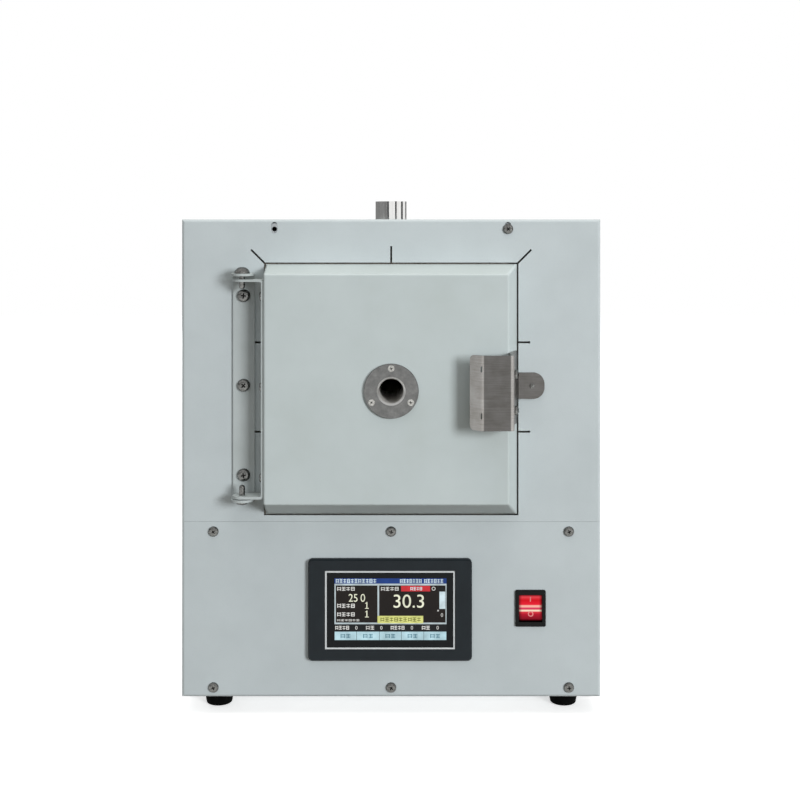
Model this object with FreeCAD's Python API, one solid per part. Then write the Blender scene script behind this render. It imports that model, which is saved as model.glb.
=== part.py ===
import FreeCAD
import Part
import math
import os

from FreeCAD import Vector

# A benchtop muffle furnace. X is to the right seen from the front, Y to the rear, Z up.
# The origin is on the bench, in the middle of everything that shows in plan.
# Depth is measured from the front panels' outer face, positive to the rear.

# Cabinet
cabinet_width = 356.0
cabinet_depth = 400.0
lower_panel_height = 149.1
seam_gap = 0.15
sheet = 1.5
bend_radius = 2.5
panel_flange = 14.0
cover_gap = 0.5
side_gap = 1.0
corner_slit = 0.6
tray_flange = 22.0
shelf_flange = 16.0
cover_flange = 12.0
crossbar_drop = 14.0
crossbar_shelf = 26.0

# Feet
foot_drop = 15.0
foot_top_diameter = 28.0
foot_bottom_diameter = 22.0
foot_round = 1.5
foot_side_inset = 28.0
foot_inset = 30.0
foot_recess_diameter = 11.0
foot_recess_depth = 5.0
foot_hole_diameter = 5.4

# Door opening in the upper panel
opening_width = 216.3
opening_height = 214.8
opening_rise = 5.25
opening_top_margin = 36.7
relief_width = 1.6
relief_diagonal = 15.5
relief_top = 14.0
relief_side = 9.0
relief_spacing = 76.0

# Door pan
door_gap = 1.4
door_hinge_gap = 1.8
door_proud = 25.0
door_recess = 1.0
door_top_slope = 7.5
door_bottom_slope = 12.9
door_right_slope = 9.0
door_sheet = 1.5
door_bend = 2.0
liner_sheet = 1.0
liner_gap = 0.3
seal_width = 8.0
seal_inset = 6.0
seal_gap = 0.3
core_gap = 0.5

# Heated chamber
chamber_top_margin = 142.5
chamber_width = 130.0
chamber_height = 120.0
chamber_depth = 200.0
chamber_corner = 8.0
muffle_wall = 8.0
mouth_face = 6.0
mouth_depth = 49.0
mouth_flare = 8.0
mouth_land = 20.0
mouth_rebate = 14.0
block_gap = 0.3
insulation_side = 65.0
insulation_top = 57.0
insulation_rear = 75.0
jacket_sheet = 1.2
jacket_start = 15.0
jacket_bend = 2.0
plug_length = 38.0
plug_base_gap = 5.0
plug_tip_gap = 9.0
plug_corner = 10.0

# Heaters
rod_diameter = 4.0
rod_pitch = 20.0
rod_runs = 6
rod_end_margin = 4.0
rod_groove = 8.0
rod_hole_gap = 0.8
terminal_width = 18.0
terminal_length = 22.0
terminal_height = 16.0
terminal_hole_depth = 16.0

# Thermocouple
sheath_diameter = 6.0
sheath_reach = 25.0
sheath_height = 30.0
sheath_head_diameter = 22.0
sheath_head_length = 14.0

# Vent
vent_depth = 215.0
spigot_diameter = 32.0
spigot_wall = 1.2
spigot_height = 19.4
spigot_neck_step = 0.3
spigot_neck_rise = 0.2
spigot_flange_diameter = 52.0
spigot_flange_thickness = 1.5
vent_bore = 20.0
vent_tube_wall = 4.5

# Hinge
hinge_margin = 16.85
hinge_sheet = 2.0
hinge_bend = 1.5
hinge_strip_width = 18.3
hinge_strip_height = 190.6
hinge_centre_rise = 3.4
pivot_reach = 14.5
pivot_diameter = 5.0
pivot_fit = 0.08
pivot_head_diameter = 13.0
pivot_head_height = 6.0
pivot_low_head_height = 3.0
pivot_tip_top = 6.2
pivot_tip_bottom = 8.5
pivot_washer_thickness = 0.5
pivot_washer_diameter = 11.0
pivot_running_gap = 0.3
pivot_upper_gap = 2.8
ear_width = 16.0
web_rear_gap = 1.0
hinge_screw_spacing = 76.0
hinge_screw_head = 11.0
hinge_screw_head_height = 3.4
hinge_screw_shank = 5.0
hinge_screw_reach = 5.4
web_screw_spacing = 76.0
web_screw_head = 8.0
web_screw_head_height = 2.0
web_screw_shank = 4.0
web_screw_reach = 12.0

# Handle and latch, one folded strip
handle_reach = 50.0
handle_sheet = 2.0
handle_bend = 1.0
handle_height = 61.1
handle_centre_rise = 2.8
handle_grip_width = 27.0
handle_lip = 12.5
handle_lip_angle = 45.0
handle_corner = 4.0
handle_side_gap = 0.3
handle_foot_stop = 7.0
handle_slot_length = 4.8
handle_slot_width = 1.2
handle_slot_spacing = 38.0
tab_height = 22.3
tab_centre_rise = 3.0
tab_end_margin = 21.85
tab_corner = 9.5
tab_gap = 0.5
handle_screw_spacing = 30.0
handle_screw_centre_drop = 1.6
handle_screw_head = 8.0
handle_screw_head_height = 2.2
handle_screw_shank = 4.0
handle_screw_reach = 13.0
stud_margin = 11.35
stud_diameter = 3.0
stud_head_diameter = 4.5
stud_head_height = 0.8
magnet_diameter = 16.0
magnet_thickness = 4.0

# Observation port
port_ring_diameter = 45.5
port_ring_thickness = 2.5
port_bore = 20.6
port_tube_wall = 1.2
port_chamfer = 1.6
port_screw_circle = 37.5
port_screw_head = 5.5
port_screw_shank = 3.0
port_screw_reach = 9.0
port_hole_gap = 0.3

# Display
display_x = -1.0
display_height_above_bench = 90.2
bezel_width = 138.8
bezel_height = 86.3
bezel_thickness = 5.0
bezel_corner = 4.0
bezel_chamfer = 1.2
screen_width = 110.5
screen_height = 66.8
screen_recess = 0.8
screen_thickness = 1.8
housing_width = 130.0
housing_height = 80.0
housing_depth = 30.0
housing_gap = 0.5
clamp_width = 8.0
clamp_height = 10.0
clamp_spacing = 80.0
clamp_reach = 9.0

# Rocker switch
switch_x = 118.3
switch_height_above_bench = 90.8
switch_flange_width = 25.8
switch_flange_height = 31.0
switch_flange_thickness = 2.2
switch_corner = 1.5
switch_body_width = 22.0
switch_body_height = 28.0
switch_body_depth = 24.0
switch_body_gap = 0.3
rocker_width = 19.1
rocker_radius = 11.1
rocker_gap = 0.4
rocker_pivot_depth = 3.5
rocker_tip_angle = 32.0
rocker_tilt = 10.0
rocker_dish = 2.4
rocker_well_depth = 16.0
rocker_pin_diameter = 3.0
rocker_pin_length = 0.9
rocker_pin_fit = 0.08
switch_tab_width = 6.3
switch_tab_thickness = 0.8
switch_tab_length = 10.0

# Screws of the panels
screw_head_diameter = 9.0
screw_head_height = 2.4
screw_shank_diameter = 4.0
screw_reach = 9.0
hole_gap = 0.3
lower_screw_side_margin = 27.0
lower_screw_margin = 8.3
fixing_slot_width = 5.5
fixing_slot_height = 9.5
fixing_slot_x = 99.3
fixing_screw_drop = 8.2

# Louvres in the cover's sides
louvre_length = 62.0
louvre_height = 6.0
louvre_pitch = 13.0
louvre_depth = 6.0
louvre_columns = (150.0, 250.0)
louvre_lower_start = 44.0
louvre_lower_rows = 6
louvre_upper_start = 330.0
louvre_upper_rows = 4

# Vents in the rear panel
rear_slot_width = 4.0
rear_slot_length = 40.0
rear_slot_pitch = 12.0
rear_slot_count = 9
rear_slot_height_above_bench = 85.0
rear_slot_x = -60.0

# Mains inlet
inlet_x = 105.0
inlet_height_above_bench = 62.0
inlet_flange_width = 50.0
inlet_flange_height = 28.0
inlet_flange_thickness = 2.5
inlet_flange_corner = 5.0
inlet_body_width = 32.0
inlet_body_height = 24.0
inlet_body_depth = 24.0
inlet_cavity_width = 24.6
inlet_cavity_height = 16.6
inlet_cavity_depth = 17.0
inlet_cavity_chamfer = 4.5
inlet_pin_spacing = 7.0
inlet_pin_drop = 4.0
inlet_pin_width = 4.0
inlet_pin_thickness = 2.0
inlet_pin_length = 12.0
inlet_screw_spacing = 40.0
inlet_screw_head = 5.6
inlet_screw_head_height = 1.8

# Electrics on the base tray
sink_width = 80.0
sink_length = 100.0
sink_base = 6.0
sink_fin_height = 34.0
sink_fin_thickness = 2.0
sink_fins = 9
sink_side_margin = 88.0
sink_depth = 220.0
relay_width = 45.0
relay_length = 58.0
relay_height = 23.0
relay_corner = 3.0
supply_width = 82.0
supply_length = 110.0
supply_height = 38.0
supply_side_margin = 118.0
supply_depth = 220.0

# Derived places
front_y = (handle_reach - cabinet_depth - max(inlet_flange_thickness, screw_head_height)) / 2
half_width = cabinet_width / 2
cabinet_bottom = foot_drop
lower_top = cabinet_bottom + lower_panel_height
upper_bottom = lower_top + seam_gap
tray_bottom = cabinet_bottom + sheet
door_z = upper_bottom + opening_rise + opening_height / 2
cabinet_top = door_z + opening_height / 2 + opening_top_margin
chamber_z = cabinet_top - chamber_top_margin
hinge_x = -opening_width / 2 - hinge_margin
hinge_centre_height = door_z + hinge_centre_rise
handle_centre_height = door_z + handle_centre_rise
tab_centre_height = door_z + tab_centre_rise
handle_screw_centre_height = door_z - handle_screw_centre_drop
lower_screw_x = half_width - lower_screw_side_margin
tab_end_x = opening_width / 2 + tab_end_margin
stud_x = opening_width / 2 + stud_margin
sink_x = sink_side_margin - half_width
supply_x = half_width - supply_side_margin

muffle_half_width = chamber_width / 2 + muffle_wall
muffle_half_height = chamber_height / 2 + muffle_wall
muffle_start = mouth_face + mouth_depth + block_gap
chamber_start = muffle_start
muffle_end = muffle_start + chamber_depth + muffle_wall
pack_half_width = muffle_half_width + insulation_side
pack_bottom = upper_bottom + jacket_sheet + block_gap
pack_top = chamber_z + muffle_half_height + insulation_top
pack_end = muffle_end + block_gap + insulation_rear
jacket_end = pack_end + block_gap + jacket_sheet

pivot_depth = -pivot_reach
strip_bottom = hinge_centre_height - hinge_strip_height / 2
strip_top = hinge_centre_height + hinge_strip_height / 2
door_ear_bottom = strip_bottom + hinge_sheet + pivot_washer_thickness + pivot_running_gap
door_ear_top = strip_top - hinge_sheet - pivot_upper_gap

door_left = -opening_width / 2 + door_hinge_gap
door_right = opening_width / 2 - door_gap
door_bottom = door_z - opening_height / 2 + door_gap
door_top = door_z + opening_height / 2 - door_gap
liner_rear = door_recess
seal_rear = mouth_face - seal_gap

mouth_half_width = chamber_width / 2 + mouth_flare
mouth_half_height = chamber_height / 2 + mouth_flare
plug_base_half_width = mouth_half_width - plug_base_gap
plug_base_half_height = mouth_half_height - plug_base_gap
plug_tip_half_width = chamber_width / 2 - plug_tip_gap
plug_tip_half_height = chamber_height / 2 - plug_tip_gap
plug_end = mouth_face + plug_length

heater_offset = muffle_half_width + block_gap + rod_diameter / 2


def at(depth):
    return front_y + depth


def box(x0, x1, depth0, depth1, z0, z1):
    return Part.makeBox(x1 - x0, depth1 - depth0, z1 - z0, Vector(x0, at(depth0), z0))


def on_plane(value, target):
    return abs(value - target) < 1e-4


def edges_where(shape, test):
    return [edge for edge in shape.Edges if all(test(corner.Point) for corner in edge.Vertexes)]


def rounded_box(x0, x1, depth0, depth1, z0, z1, radius):
    # the four edges that run front to rear are rounded
    solid = box(x0, x1, depth0, depth1, z0, z1)
    edges = []
    for x in (x0, x1):
        for z in (z0, z1):
            edges += edges_where(solid, lambda p: on_plane(p.x, x) and on_plane(p.z, z))
    return solid.makeFillet(radius, edges)


def rod(diameter, start, end):
    axis = end - start
    return Part.makeCylinder(diameter / 2, axis.Length, start, axis)


def across(x, z, depth0, depth1, diameter):
    # a round bar that runs front to rear
    return rod(diameter, Vector(x, at(depth0), z), Vector(x, at(depth1), z))


def rectangle_wire(x0, x1, z0, z1, depth, radius=0.0):
    if radius <= 0:
        corners = [Vector(x, at(depth), z) for x, z in ((x0, z0), (x1, z0), (x1, z1), (x0, z1))]
        return Part.makePolygon(corners + corners[:1])
    face = rounded_box(x0, x1, depth, depth + 1.0, z0, z1, radius)
    flat = [f for f in face.Faces if abs(f.CenterOfMass.y - at(depth)) < 1e-4]
    return flat[0].OuterWire


def tapered_block(front, rear, depth0, depth1, radius=0.0):
    # front and rear are (x0, x1, z0, z1)
    wires = [rectangle_wire(*front, depth0, radius), rectangle_wire(*rear, depth1, radius)]
    return Part.makeLoft(wires, True, True)


def folded_sheet(points, thickness, inner_radius, place, direction):
    # points run along one face of the sheet, which lies to their left, in a flat (u, v) view;
    # place turns (u, v) into space, and direction is the length of the fold lines
    normals = []
    for start, end in zip(points, points[1:]):
        du = end[0] - start[0]
        dv = end[1] - start[1]
        length = math.hypot(du, dv)
        normals.append((-dv / length, du / length))
    offset = []
    for index, point in enumerate(points):
        before = normals[max(index - 1, 0)]
        after = normals[min(index, len(normals) - 1)]
        scale = thickness / (1 + before[0] * after[0] + before[1] * after[1])
        offset.append((point[0] + (before[0] + after[0]) * scale,
                       point[1] + (before[1] + after[1]) * scale))
    outline = [place(u, v) for u, v in points + offset[::-1]]
    solid = Part.Face(Part.makePolygon(outline + outline[:1])).extrude(direction)
    for index in range(1, len(points) - 1):
        before = normals[index - 1]
        after = normals[index]
        turn = before[0] * after[1] - before[1] * after[0]
        radii = (inner_radius, inner_radius + thickness)
        if turn < 0:
            radii = radii[::-1]
        for (u, v), radius in ((offset[index], radii[0]), (points[index], radii[1])):
            foot = place(u, v)
            head = foot + direction
            edges = edges_where(solid, lambda p: min((p - foot).Length, (p - head).Length) < 1e-3)
            solid = solid.makeFillet(radius, edges)
    return solid


def folded_pan(x0, x1, z0, z1, depth0, depth1, thickness, radius, face_depth):
    # a plate with a flange on all four sides; face_depth says which end the plate is at
    solid = box(x0, x1, depth0, depth1, z0, z1)
    at_face = lambda p: on_plane(p.y, at(face_depth))
    solid = solid.makeFillet(radius, edges_where(solid, at_face))
    front = depth0 + thickness
    rear = depth1 - thickness
    if on_plane(face_depth, depth0):
        rear = depth1 + thickness
        inner_face = front
    else:
        front = depth0 - thickness
        inner_face = rear
    inner = box(x0 + thickness, x1 - thickness, front, rear, z0 + thickness, z1 - thickness)
    at_inner = lambda p: on_plane(p.y, at(inner_face))
    inner = inner.makeFillet(max(radius - thickness, 0.3), edges_where(inner, at_inner))
    solid = solid.cut(inner)
    slit_front = min(front, depth1 - radius) if on_plane(face_depth, depth1) else depth0 + radius
    slit_rear = depth1 - radius if on_plane(face_depth, depth1) else rear
    for side in (-1, 1):
        edge = x1 - thickness if side > 0 else x0 + thickness
        slit_x = sorted((edge, edge - side * corner_slit))
        for low, high in ((z0 - 1, z0 + thickness), (z1 - thickness, z1 + 1)):
            solid = solid.cut(box(slit_x[0], slit_x[1], slit_front, slit_rear, low, high))
    return solid


def dome_screw(head_diameter, head_height, shank_diameter, reach, seat, outward, point=False):
    # seat is under the head, on the sheet; the shank goes the other way from outward
    head_radius = head_diameter / 2
    shank_radius = shank_diameter / 2
    rim = head_height * 0.3
    crown = head_height - rim
    dome = (head_radius ** 2 + crown ** 2) / (2 * crown)
    half_turn = math.asin(head_radius / dome) / 2
    middle = Vector(dome * math.sin(half_turn), 0, head_height - dome + dome * math.cos(half_turn))
    top = Vector(0, 0, head_height)
    corners = [top, Vector(0, 0, -reach), Vector(shank_radius, 0, -reach),
               Vector(shank_radius, 0, 0), Vector(head_radius, 0, 0), Vector(head_radius, 0, rim)]
    edges = [Part.makeLine(start, end) for start, end in zip(corners, corners[1:])]
    edges.append(Part.Arc(corners[-1], middle, top).toShape())
    screw = Part.Face(Part.Wire(edges)).revolve(Vector(0, 0, 0), Vector(0, 0, 1), 360)
    if point:
        tip = edges_where(screw, lambda p: on_plane(p.z, -reach) and p.x > shank_radius / 2)
        screw = screw.makeFillet(shank_diameter * 0.4, tip)
    screw.Placement = FreeCAD.Placement(seat, FreeCAD.Rotation(Vector(0, 0, 1), outward))
    return screw


def front_screw(x, z, depth, reach=screw_reach, head=screw_head_diameter,
                head_height=screw_head_height, shank=screw_shank_diameter):
    return dome_screw(head, head_height, shank, reach, Vector(x, at(depth), z), Vector(0, -1, 0))


def obround(x, z, depth0, depth1, width, height):
    half = (height - width) / 2
    solid = box(x - width / 2, x + width / 2, depth0, depth1, z - half, z + half)
    for end in (-half, half):
        solid = solid.fuse(across(x, z + end, depth0, depth1, width))
    return solid.removeSplitter()


def lower_screw_places():
    rows = (cabinet_bottom + lower_screw_margin, lower_top - lower_screw_margin)
    return [(x, z) for z in rows for x in (-lower_screw_x, 0.0, lower_screw_x)]


# Cabinet

def upper_front_panel():
    # its lower edge is left flat, to butt against the lower panel
    panel = folded_pan(-half_width, half_width, upper_bottom - panel_flange, cabinet_top, 0,
                       panel_flange, sheet, bend_radius, 0)
    panel = panel.cut(box(-half_width - 1, half_width + 1, -1, panel_flange + 1,
                          upper_bottom - panel_flange - 1, upper_bottom))
    left = -opening_width / 2
    right = opening_width / 2
    low = door_z - opening_height / 2
    high = door_z + opening_height / 2
    through = (-sheet, sheet * 2)
    panel = panel.cut(box(left, right, *through, low, high))
    half = relief_width / 2
    cuts = [box(-half, half, *through, high - 1, high + relief_top)]
    for side in (left, right):
        outer = side + math.copysign(relief_side, side)
        for offset in (-relief_spacing / 2, relief_spacing / 2):
            z = chamber_z + offset
            cuts.append(box(min(side, outer), max(side, outer), *through, z - half, z + half))
            cuts.append(across(outer, z, *through, relief_width * 1.3))
        diagonal = box(-half, half, *through, -1, relief_diagonal)
        diagonal.rotate(Vector(0, 0, 0), Vector(0, 1, 0), math.copysign(45, side))
        diagonal.translate(Vector(side, 0, high))
        cuts.append(diagonal)
    for side in (-1, 1):
        cuts.append(obround(side * fixing_slot_x, cabinet_top - fixing_screw_drop + 1.2, *through,
                            fixing_slot_width, fixing_slot_height))
    for _, z in hinge_screw_places():
        cuts.append(across(hinge_x, z, *through, hinge_screw_shank + 2 * hole_gap))
    for cut in cuts:
        panel = panel.cut(cut)
    return panel


def lower_front_panel():
    panel = folded_pan(-half_width, half_width, cabinet_bottom, lower_top + panel_flange, 0,
                       panel_flange, sheet, bend_radius, 0)
    panel = panel.cut(box(-half_width - 1, half_width + 1, -1, panel_flange + 1, lower_top,
                          lower_top + panel_flange + 1))
    cuts = [across(x, z, -sheet, 2 * sheet, screw_shank_diameter + 2 * hole_gap)
            for x, z in lower_screw_places()]
    cuts.append(display_opening())
    cuts.append(switch_opening(switch_body_gap))
    for cut in cuts:
        panel = panel.cut(cut)
    return panel


def lower_panel_screws():
    return Part.makeCompound([front_screw(x, z, 0) for x, z in lower_screw_places()])


def upper_panel_screw():
    return front_screw(fixing_slot_x, cabinet_top - fixing_screw_drop, 0)


def base_tray():
    # a plate with its four sides turned up, inside the panels' own flanges
    side = half_width - sheet - side_gap
    front = sheet
    rear = cabinet_depth - sheet
    z0 = tray_bottom
    solid = box(-side, side, front, rear, z0, z0 + tray_flange)
    solid = solid.makeFillet(bend_radius, edges_where(solid, lambda p: on_plane(p.z, z0)))
    inner = box(-side + sheet, side - sheet, front + sheet, rear - sheet, z0 + sheet,
                z0 + tray_flange + 1)
    inner = inner.makeFillet(bend_radius - sheet,
                             edges_where(inner, lambda p: on_plane(p.z, z0 + sheet)))
    solid = solid.cut(inner)
    hole = screw_shank_diameter + 2 * hole_gap
    for x, z in lower_screw_places()[:3]:
        solid = solid.cut(across(x, z, 0, 2 * front + sheet, hole))
        solid = solid.cut(across(x, z, rear - 2 * sheet, rear + sheet, hole))
    for x, depth in foot_places():
        solid = solid.cut(rod(foot_hole_diameter, Vector(x, at(depth), z0 - 1),
                              Vector(x, at(depth), z0 + sheet + 1)))
    return solid


def divider_shelf():
    # carries the heater part above the electrics
    side = half_width - sheet - side_gap
    low = upper_bottom - shelf_flange
    front = sheet
    rear = cabinet_depth - sheet
    points = [(rear, low), (rear, upper_bottom), (front, upper_bottom), (front, low)]
    place = lambda u, v: Vector(-side, at(u), v)
    solid = folded_sheet(points, sheet, bend_radius - sheet, place, Vector(2 * side, 0, 0))
    hole = screw_shank_diameter + 2 * hole_gap
    for x, z in lower_screw_places()[3:]:
        solid = solid.cut(across(x, z, 0, front + 2 * sheet, hole))
        solid = solid.cut(across(x, z, rear - 2 * sheet, rear + sheet, hole))
    return solid


def crossbar(face, direction):
    # an angle under the cover's top, which the panel's top edge is fixed to
    top = cabinet_top - sheet
    side = half_width - sheet - side_gap
    outer = face
    inner = face + direction * crossbar_shelf
    if direction > 0:
        points = [(inner, top), (outer, top), (outer, top - crossbar_drop)]
    else:
        points = [(outer, top - crossbar_drop), (outer, top), (inner, top)]
    place = lambda u, v: Vector(-side, at(u), v)
    solid = folded_sheet(points, sheet, bend_radius - sheet, place, Vector(2 * side, 0, 0))
    for sign in (-1, 1):
        solid = solid.cut(across(sign * fixing_slot_x, cabinet_top - fixing_screw_drop,
                                 face - 2 * sheet, face + 2 * sheet, screw_shank_diameter + 0.2))
    return solid


def front_crossbar():
    return crossbar(sheet, 1)


def rear_crossbar():
    return crossbar(cabinet_depth - sheet, -1)


def louvre_cut(depth, z):
    length = louvre_length
    return box(-half_width - 1, half_width + 1, depth - length / 2, depth + length / 2, z,
               z + louvre_height)


def louvre_vane(side, depth, z):
    # the pressed lip of a louvre, bent inwards from its upper edge and running down
    outer = half_width
    top = z + louvre_height
    radius = louvre_depth
    thick = sheet * 0.8
    centre = outer - radius
    arc_end = (centre, top - radius)
    lip = [(outer - sheet, top + 0.6), (outer, top + 0.6), (outer, top)]
    angle = math.radians(40)
    mid = (outer - radius * (1 - math.cos(angle)), top - radius * math.sin(angle))
    tip = (outer - radius * 0.95, top - radius * 1.1)
    place = lambda u, v: Vector(side * u, at(depth - louvre_length / 2), v)
    inner_mid = (mid[0] - thick, mid[1] + thick * 0.35)
    inner_tip = (tip[0] - thick * 0.7, tip[1] + thick * 0.8)
    edges = [Part.makeLine(place(*lip[0]), place(*lip[1])),
             Part.makeLine(place(*lip[1]), place(*lip[2])),
             Part.Arc(place(*lip[2]), place(*mid), place(*tip)).toShape(),
             Part.makeLine(place(*tip), place(*inner_tip)),
             Part.Arc(place(*inner_tip), place(*inner_mid), place(*lip[0])).toShape()]
    return Part.Face(Part.Wire(edges)).extrude(Vector(0, louvre_length, 0))


def louvre_places():
    rows = [louvre_lower_start + louvre_pitch * index for index in range(louvre_lower_rows)]
    rows += [louvre_upper_start + louvre_pitch * index for index in range(louvre_upper_rows)]
    return [(depth, z) for depth in louvre_columns for z in rows]


def outer_cover():
    # top and both sides in one sheet, with short flanges under the tray
    low = cabinet_bottom
    flange = half_width - cover_flange
    points = [(flange, low), (half_width, low), (half_width, cabinet_top),
              (-half_width, cabinet_top), (-half_width, low), (-flange, low)]
    start = panel_flange + cover_gap
    length = cabinet_depth - 2 * start
    place = lambda u, v: Vector(u, at(start), v)
    cover = folded_sheet(points, sheet, bend_radius - sheet, place, Vector(0, length, 0))
    cuts = [louvre_cut(depth, z) for depth, z in louvre_places()]
    cover = cover.cut(Part.makeCompound(cuts))
    vanes = [louvre_vane(side, depth, z) for side in (-1, 1) for depth, z in louvre_places()]
    cover = cover.fuse(vanes)
    hole = rod(spigot_diameter + 2 * hole_gap, Vector(0, at(vent_depth), cabinet_top - 2 * sheet),
               Vector(0, at(vent_depth), cabinet_top + sheet))
    return cover.cut(hole)


def rear_screw_places():
    places = lower_screw_places()
    high = cabinet_top - fixing_screw_drop
    return places + [(-fixing_slot_x, high), (fixing_slot_x, high)]


def rear_panel():
    depth = cabinet_depth
    panel = folded_pan(-half_width, half_width, cabinet_bottom, cabinet_top, depth - panel_flange,
                       depth, sheet, bend_radius, depth)
    through = (depth - 2 * sheet, depth + sheet)
    cuts = [across(x, z, *through, screw_shank_diameter + 2 * hole_gap)
            for x, z in rear_screw_places()]
    for index in range(rear_slot_count):
        x = rear_slot_x + (index - (rear_slot_count - 1) / 2) * rear_slot_pitch
        cuts.append(obround(x, rear_slot_height_above_bench, *through, rear_slot_width,
                            rear_slot_length))
    cuts.append(inlet_block(through[0], through[1], hole_gap))
    for side in (-1, 1):
        cuts.append(across(inlet_x + side * inlet_screw_spacing / 2, inlet_height_above_bench,
                           *through, port_screw_shank + 2 * hole_gap))
    return panel.cut(Part.makeCompound(cuts))


def rear_panel_screws():
    screws = []
    for x, z in rear_screw_places():
        seat = Vector(x, at(cabinet_depth), z)
        screws.append(dome_screw(screw_head_diameter, screw_head_height, screw_shank_diameter,
                                 screw_reach, seat, Vector(0, 1, 0)))
    return Part.makeCompound(screws)


def foot_places():
    depths = (foot_inset, cabinet_depth - foot_inset)
    foot_x = half_width - foot_side_inset
    return [(x, depth) for x in (-foot_x, foot_x) for depth in depths]


def rubber_feet():
    height = tray_bottom
    feet = []
    for x, depth in foot_places():
        foot = Part.makeCone(foot_bottom_diameter / 2, foot_top_diameter / 2, height,
                             Vector(x, at(depth), 0))
        foot = foot.makeFillet(foot_round, edges_where(foot, lambda p: on_plane(p.z, 0)))
        recess = rod(foot_recess_diameter, Vector(x, at(depth), -1),
                     Vector(x, at(depth), foot_recess_depth))
        hole = rod(foot_hole_diameter, Vector(x, at(depth), -1), Vector(x, at(depth), height + 1))
        feet.append(foot.cut(recess).cut(hole))
    return Part.makeCompound(feet)


def foot_screws():
    screws = []
    for x, depth in foot_places():
        seat = Vector(x, at(depth), foot_recess_depth)
        screws.append(dome_screw(foot_recess_diameter - 2, foot_recess_depth * 0.5,
                                 foot_hole_diameter - 0.4, tray_bottom, seat, Vector(0, 0, -1)))
    return Part.makeCompound(screws)


# Heated part

def inner_jacket():
    # the inner casing that holds the insulation, open at the front
    x = pack_half_width + block_gap + jacket_sheet
    z0 = pack_bottom - block_gap - jacket_sheet
    z1 = pack_top + block_gap + jacket_sheet
    outer = rounded_box(-x, x, jacket_start, jacket_end, z0, z1, jacket_bend)
    inner = box(-x + jacket_sheet, x - jacket_sheet, jacket_start - 1, jacket_end - jacket_sheet,
                z0 + jacket_sheet, z1 - jacket_sheet)
    jacket = outer.cut(inner)
    hole = rod(vent_bore + 2 * vent_tube_wall + 1, Vector(0, at(vent_depth), pack_top - 1),
               Vector(0, at(vent_depth), z1 + 1))
    jacket = jacket.cut(hole)
    return jacket.cut(rear_passages(pack_end - 1, jacket_end + 1))


def mouth_block():
    # fibre board round the chamber's mouth, flared for the door's plug, with a raised land
    # that meets the rope seal
    block = box(-pack_half_width, pack_half_width, mouth_face, mouth_face + mouth_depth,
                pack_bottom, pack_top)
    rebate_end = mouth_face + mouth_rebate
    rebate = box(-pack_half_width - 1, pack_half_width + 1, mouth_face - 1, rebate_end,
                 pack_bottom - 1, pack_top + 1)
    land_w = mouth_half_width + mouth_land
    land_h = mouth_half_height + mouth_land
    rebate = rebate.cut(box(-land_w, land_w, mouth_face - 2, rebate_end + 1,
                            chamber_z - land_h, chamber_z + land_h))
    block = block.cut(rebate)
    half_w = chamber_width / 2
    half_h = chamber_height / 2
    rear = (-half_w, half_w, chamber_z - half_h, chamber_z + half_h)
    front = (-mouth_half_width, mouth_half_width, chamber_z - mouth_half_height,
             chamber_z + mouth_half_height)
    flare = tapered_block(front, rear, mouth_face, mouth_face + mouth_depth, chamber_corner)
    return block.cut(flare)


def muffle():
    start = muffle_start
    outer = rounded_box(-muffle_half_width, muffle_half_width, start, muffle_end,
                        chamber_z - muffle_half_height, chamber_z + muffle_half_height,
                        chamber_corner + muffle_wall / 2)
    half_w = chamber_width / 2
    half_h = chamber_height / 2
    inner = rounded_box(-half_w, half_w, start - 1, start + chamber_depth, chamber_z - half_h,
                        chamber_z + half_h, chamber_corner)
    body = outer.cut(inner)
    top = chamber_z + muffle_half_height
    body = body.cut(rod(vent_bore, Vector(0, at(vent_depth), chamber_z),
                        Vector(0, at(vent_depth), top + 1)))
    return body.cut(across(0, sheath_z(), muffle_end - 2 * muffle_wall, muffle_end + 1,
                           sheath_diameter + 2 * rod_hole_gap))


def sheath_z():
    return chamber_z + chamber_height / 2 - sheath_height


def heater_ends():
    half = (rod_runs - 1) / 2 * rod_pitch
    return [(side * heater_offset, chamber_z + z) for side in (-1, 1) for z in (-half, half)]


def rear_passages(depth0, depth1):
    holes = [across(x, z, depth0, depth1, rod_diameter + 2 * rod_hole_gap)
             for x, z in heater_ends()]
    holes.append(across(0, sheath_z(), depth0, depth1, sheath_diameter + 2 * rod_hole_gap))
    return Part.makeCompound(holes)


def insulation_block(x0, x1, z0, z1):
    return box(x0, x1, muffle_start, muffle_end, z0, z1)


def insulation_top_block():
    block = insulation_block(-pack_half_width, pack_half_width,
                             chamber_z + muffle_half_height + block_gap, pack_top)
    return block.cut(rod(vent_bore + 2 * vent_tube_wall + 1, Vector(0, at(vent_depth), chamber_z),
                         Vector(0, at(vent_depth), pack_top + 1)))


def insulation_bottom_block():
    return insulation_block(-pack_half_width, pack_half_width, pack_bottom,
                            chamber_z - muffle_half_height - block_gap)


def insulation_side_block(side):
    inner = muffle_half_width + block_gap
    low = chamber_z - muffle_half_height
    high = chamber_z + muffle_half_height
    edges = sorted((side * inner, side * pack_half_width))
    block = insulation_block(edges[0], edges[1], low, high)
    groove = sorted((side * inner, side * (inner + rod_groove)))
    half = (rod_runs - 1) / 2 * rod_pitch + rod_diameter
    return block.cut(box(groove[0], groove[1], muffle_start + rod_end_margin / 2, muffle_end + 1,
                         chamber_z - half, chamber_z + half))


def insulation_left_block():
    return insulation_side_block(-1)


def insulation_right_block():
    return insulation_side_block(1)


def insulation_rear_block():
    start = muffle_end + block_gap
    block = box(-pack_half_width, pack_half_width, start, pack_end, pack_bottom, pack_top)
    return block.cut(rear_passages(start - 1, pack_end + 1))


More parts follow.
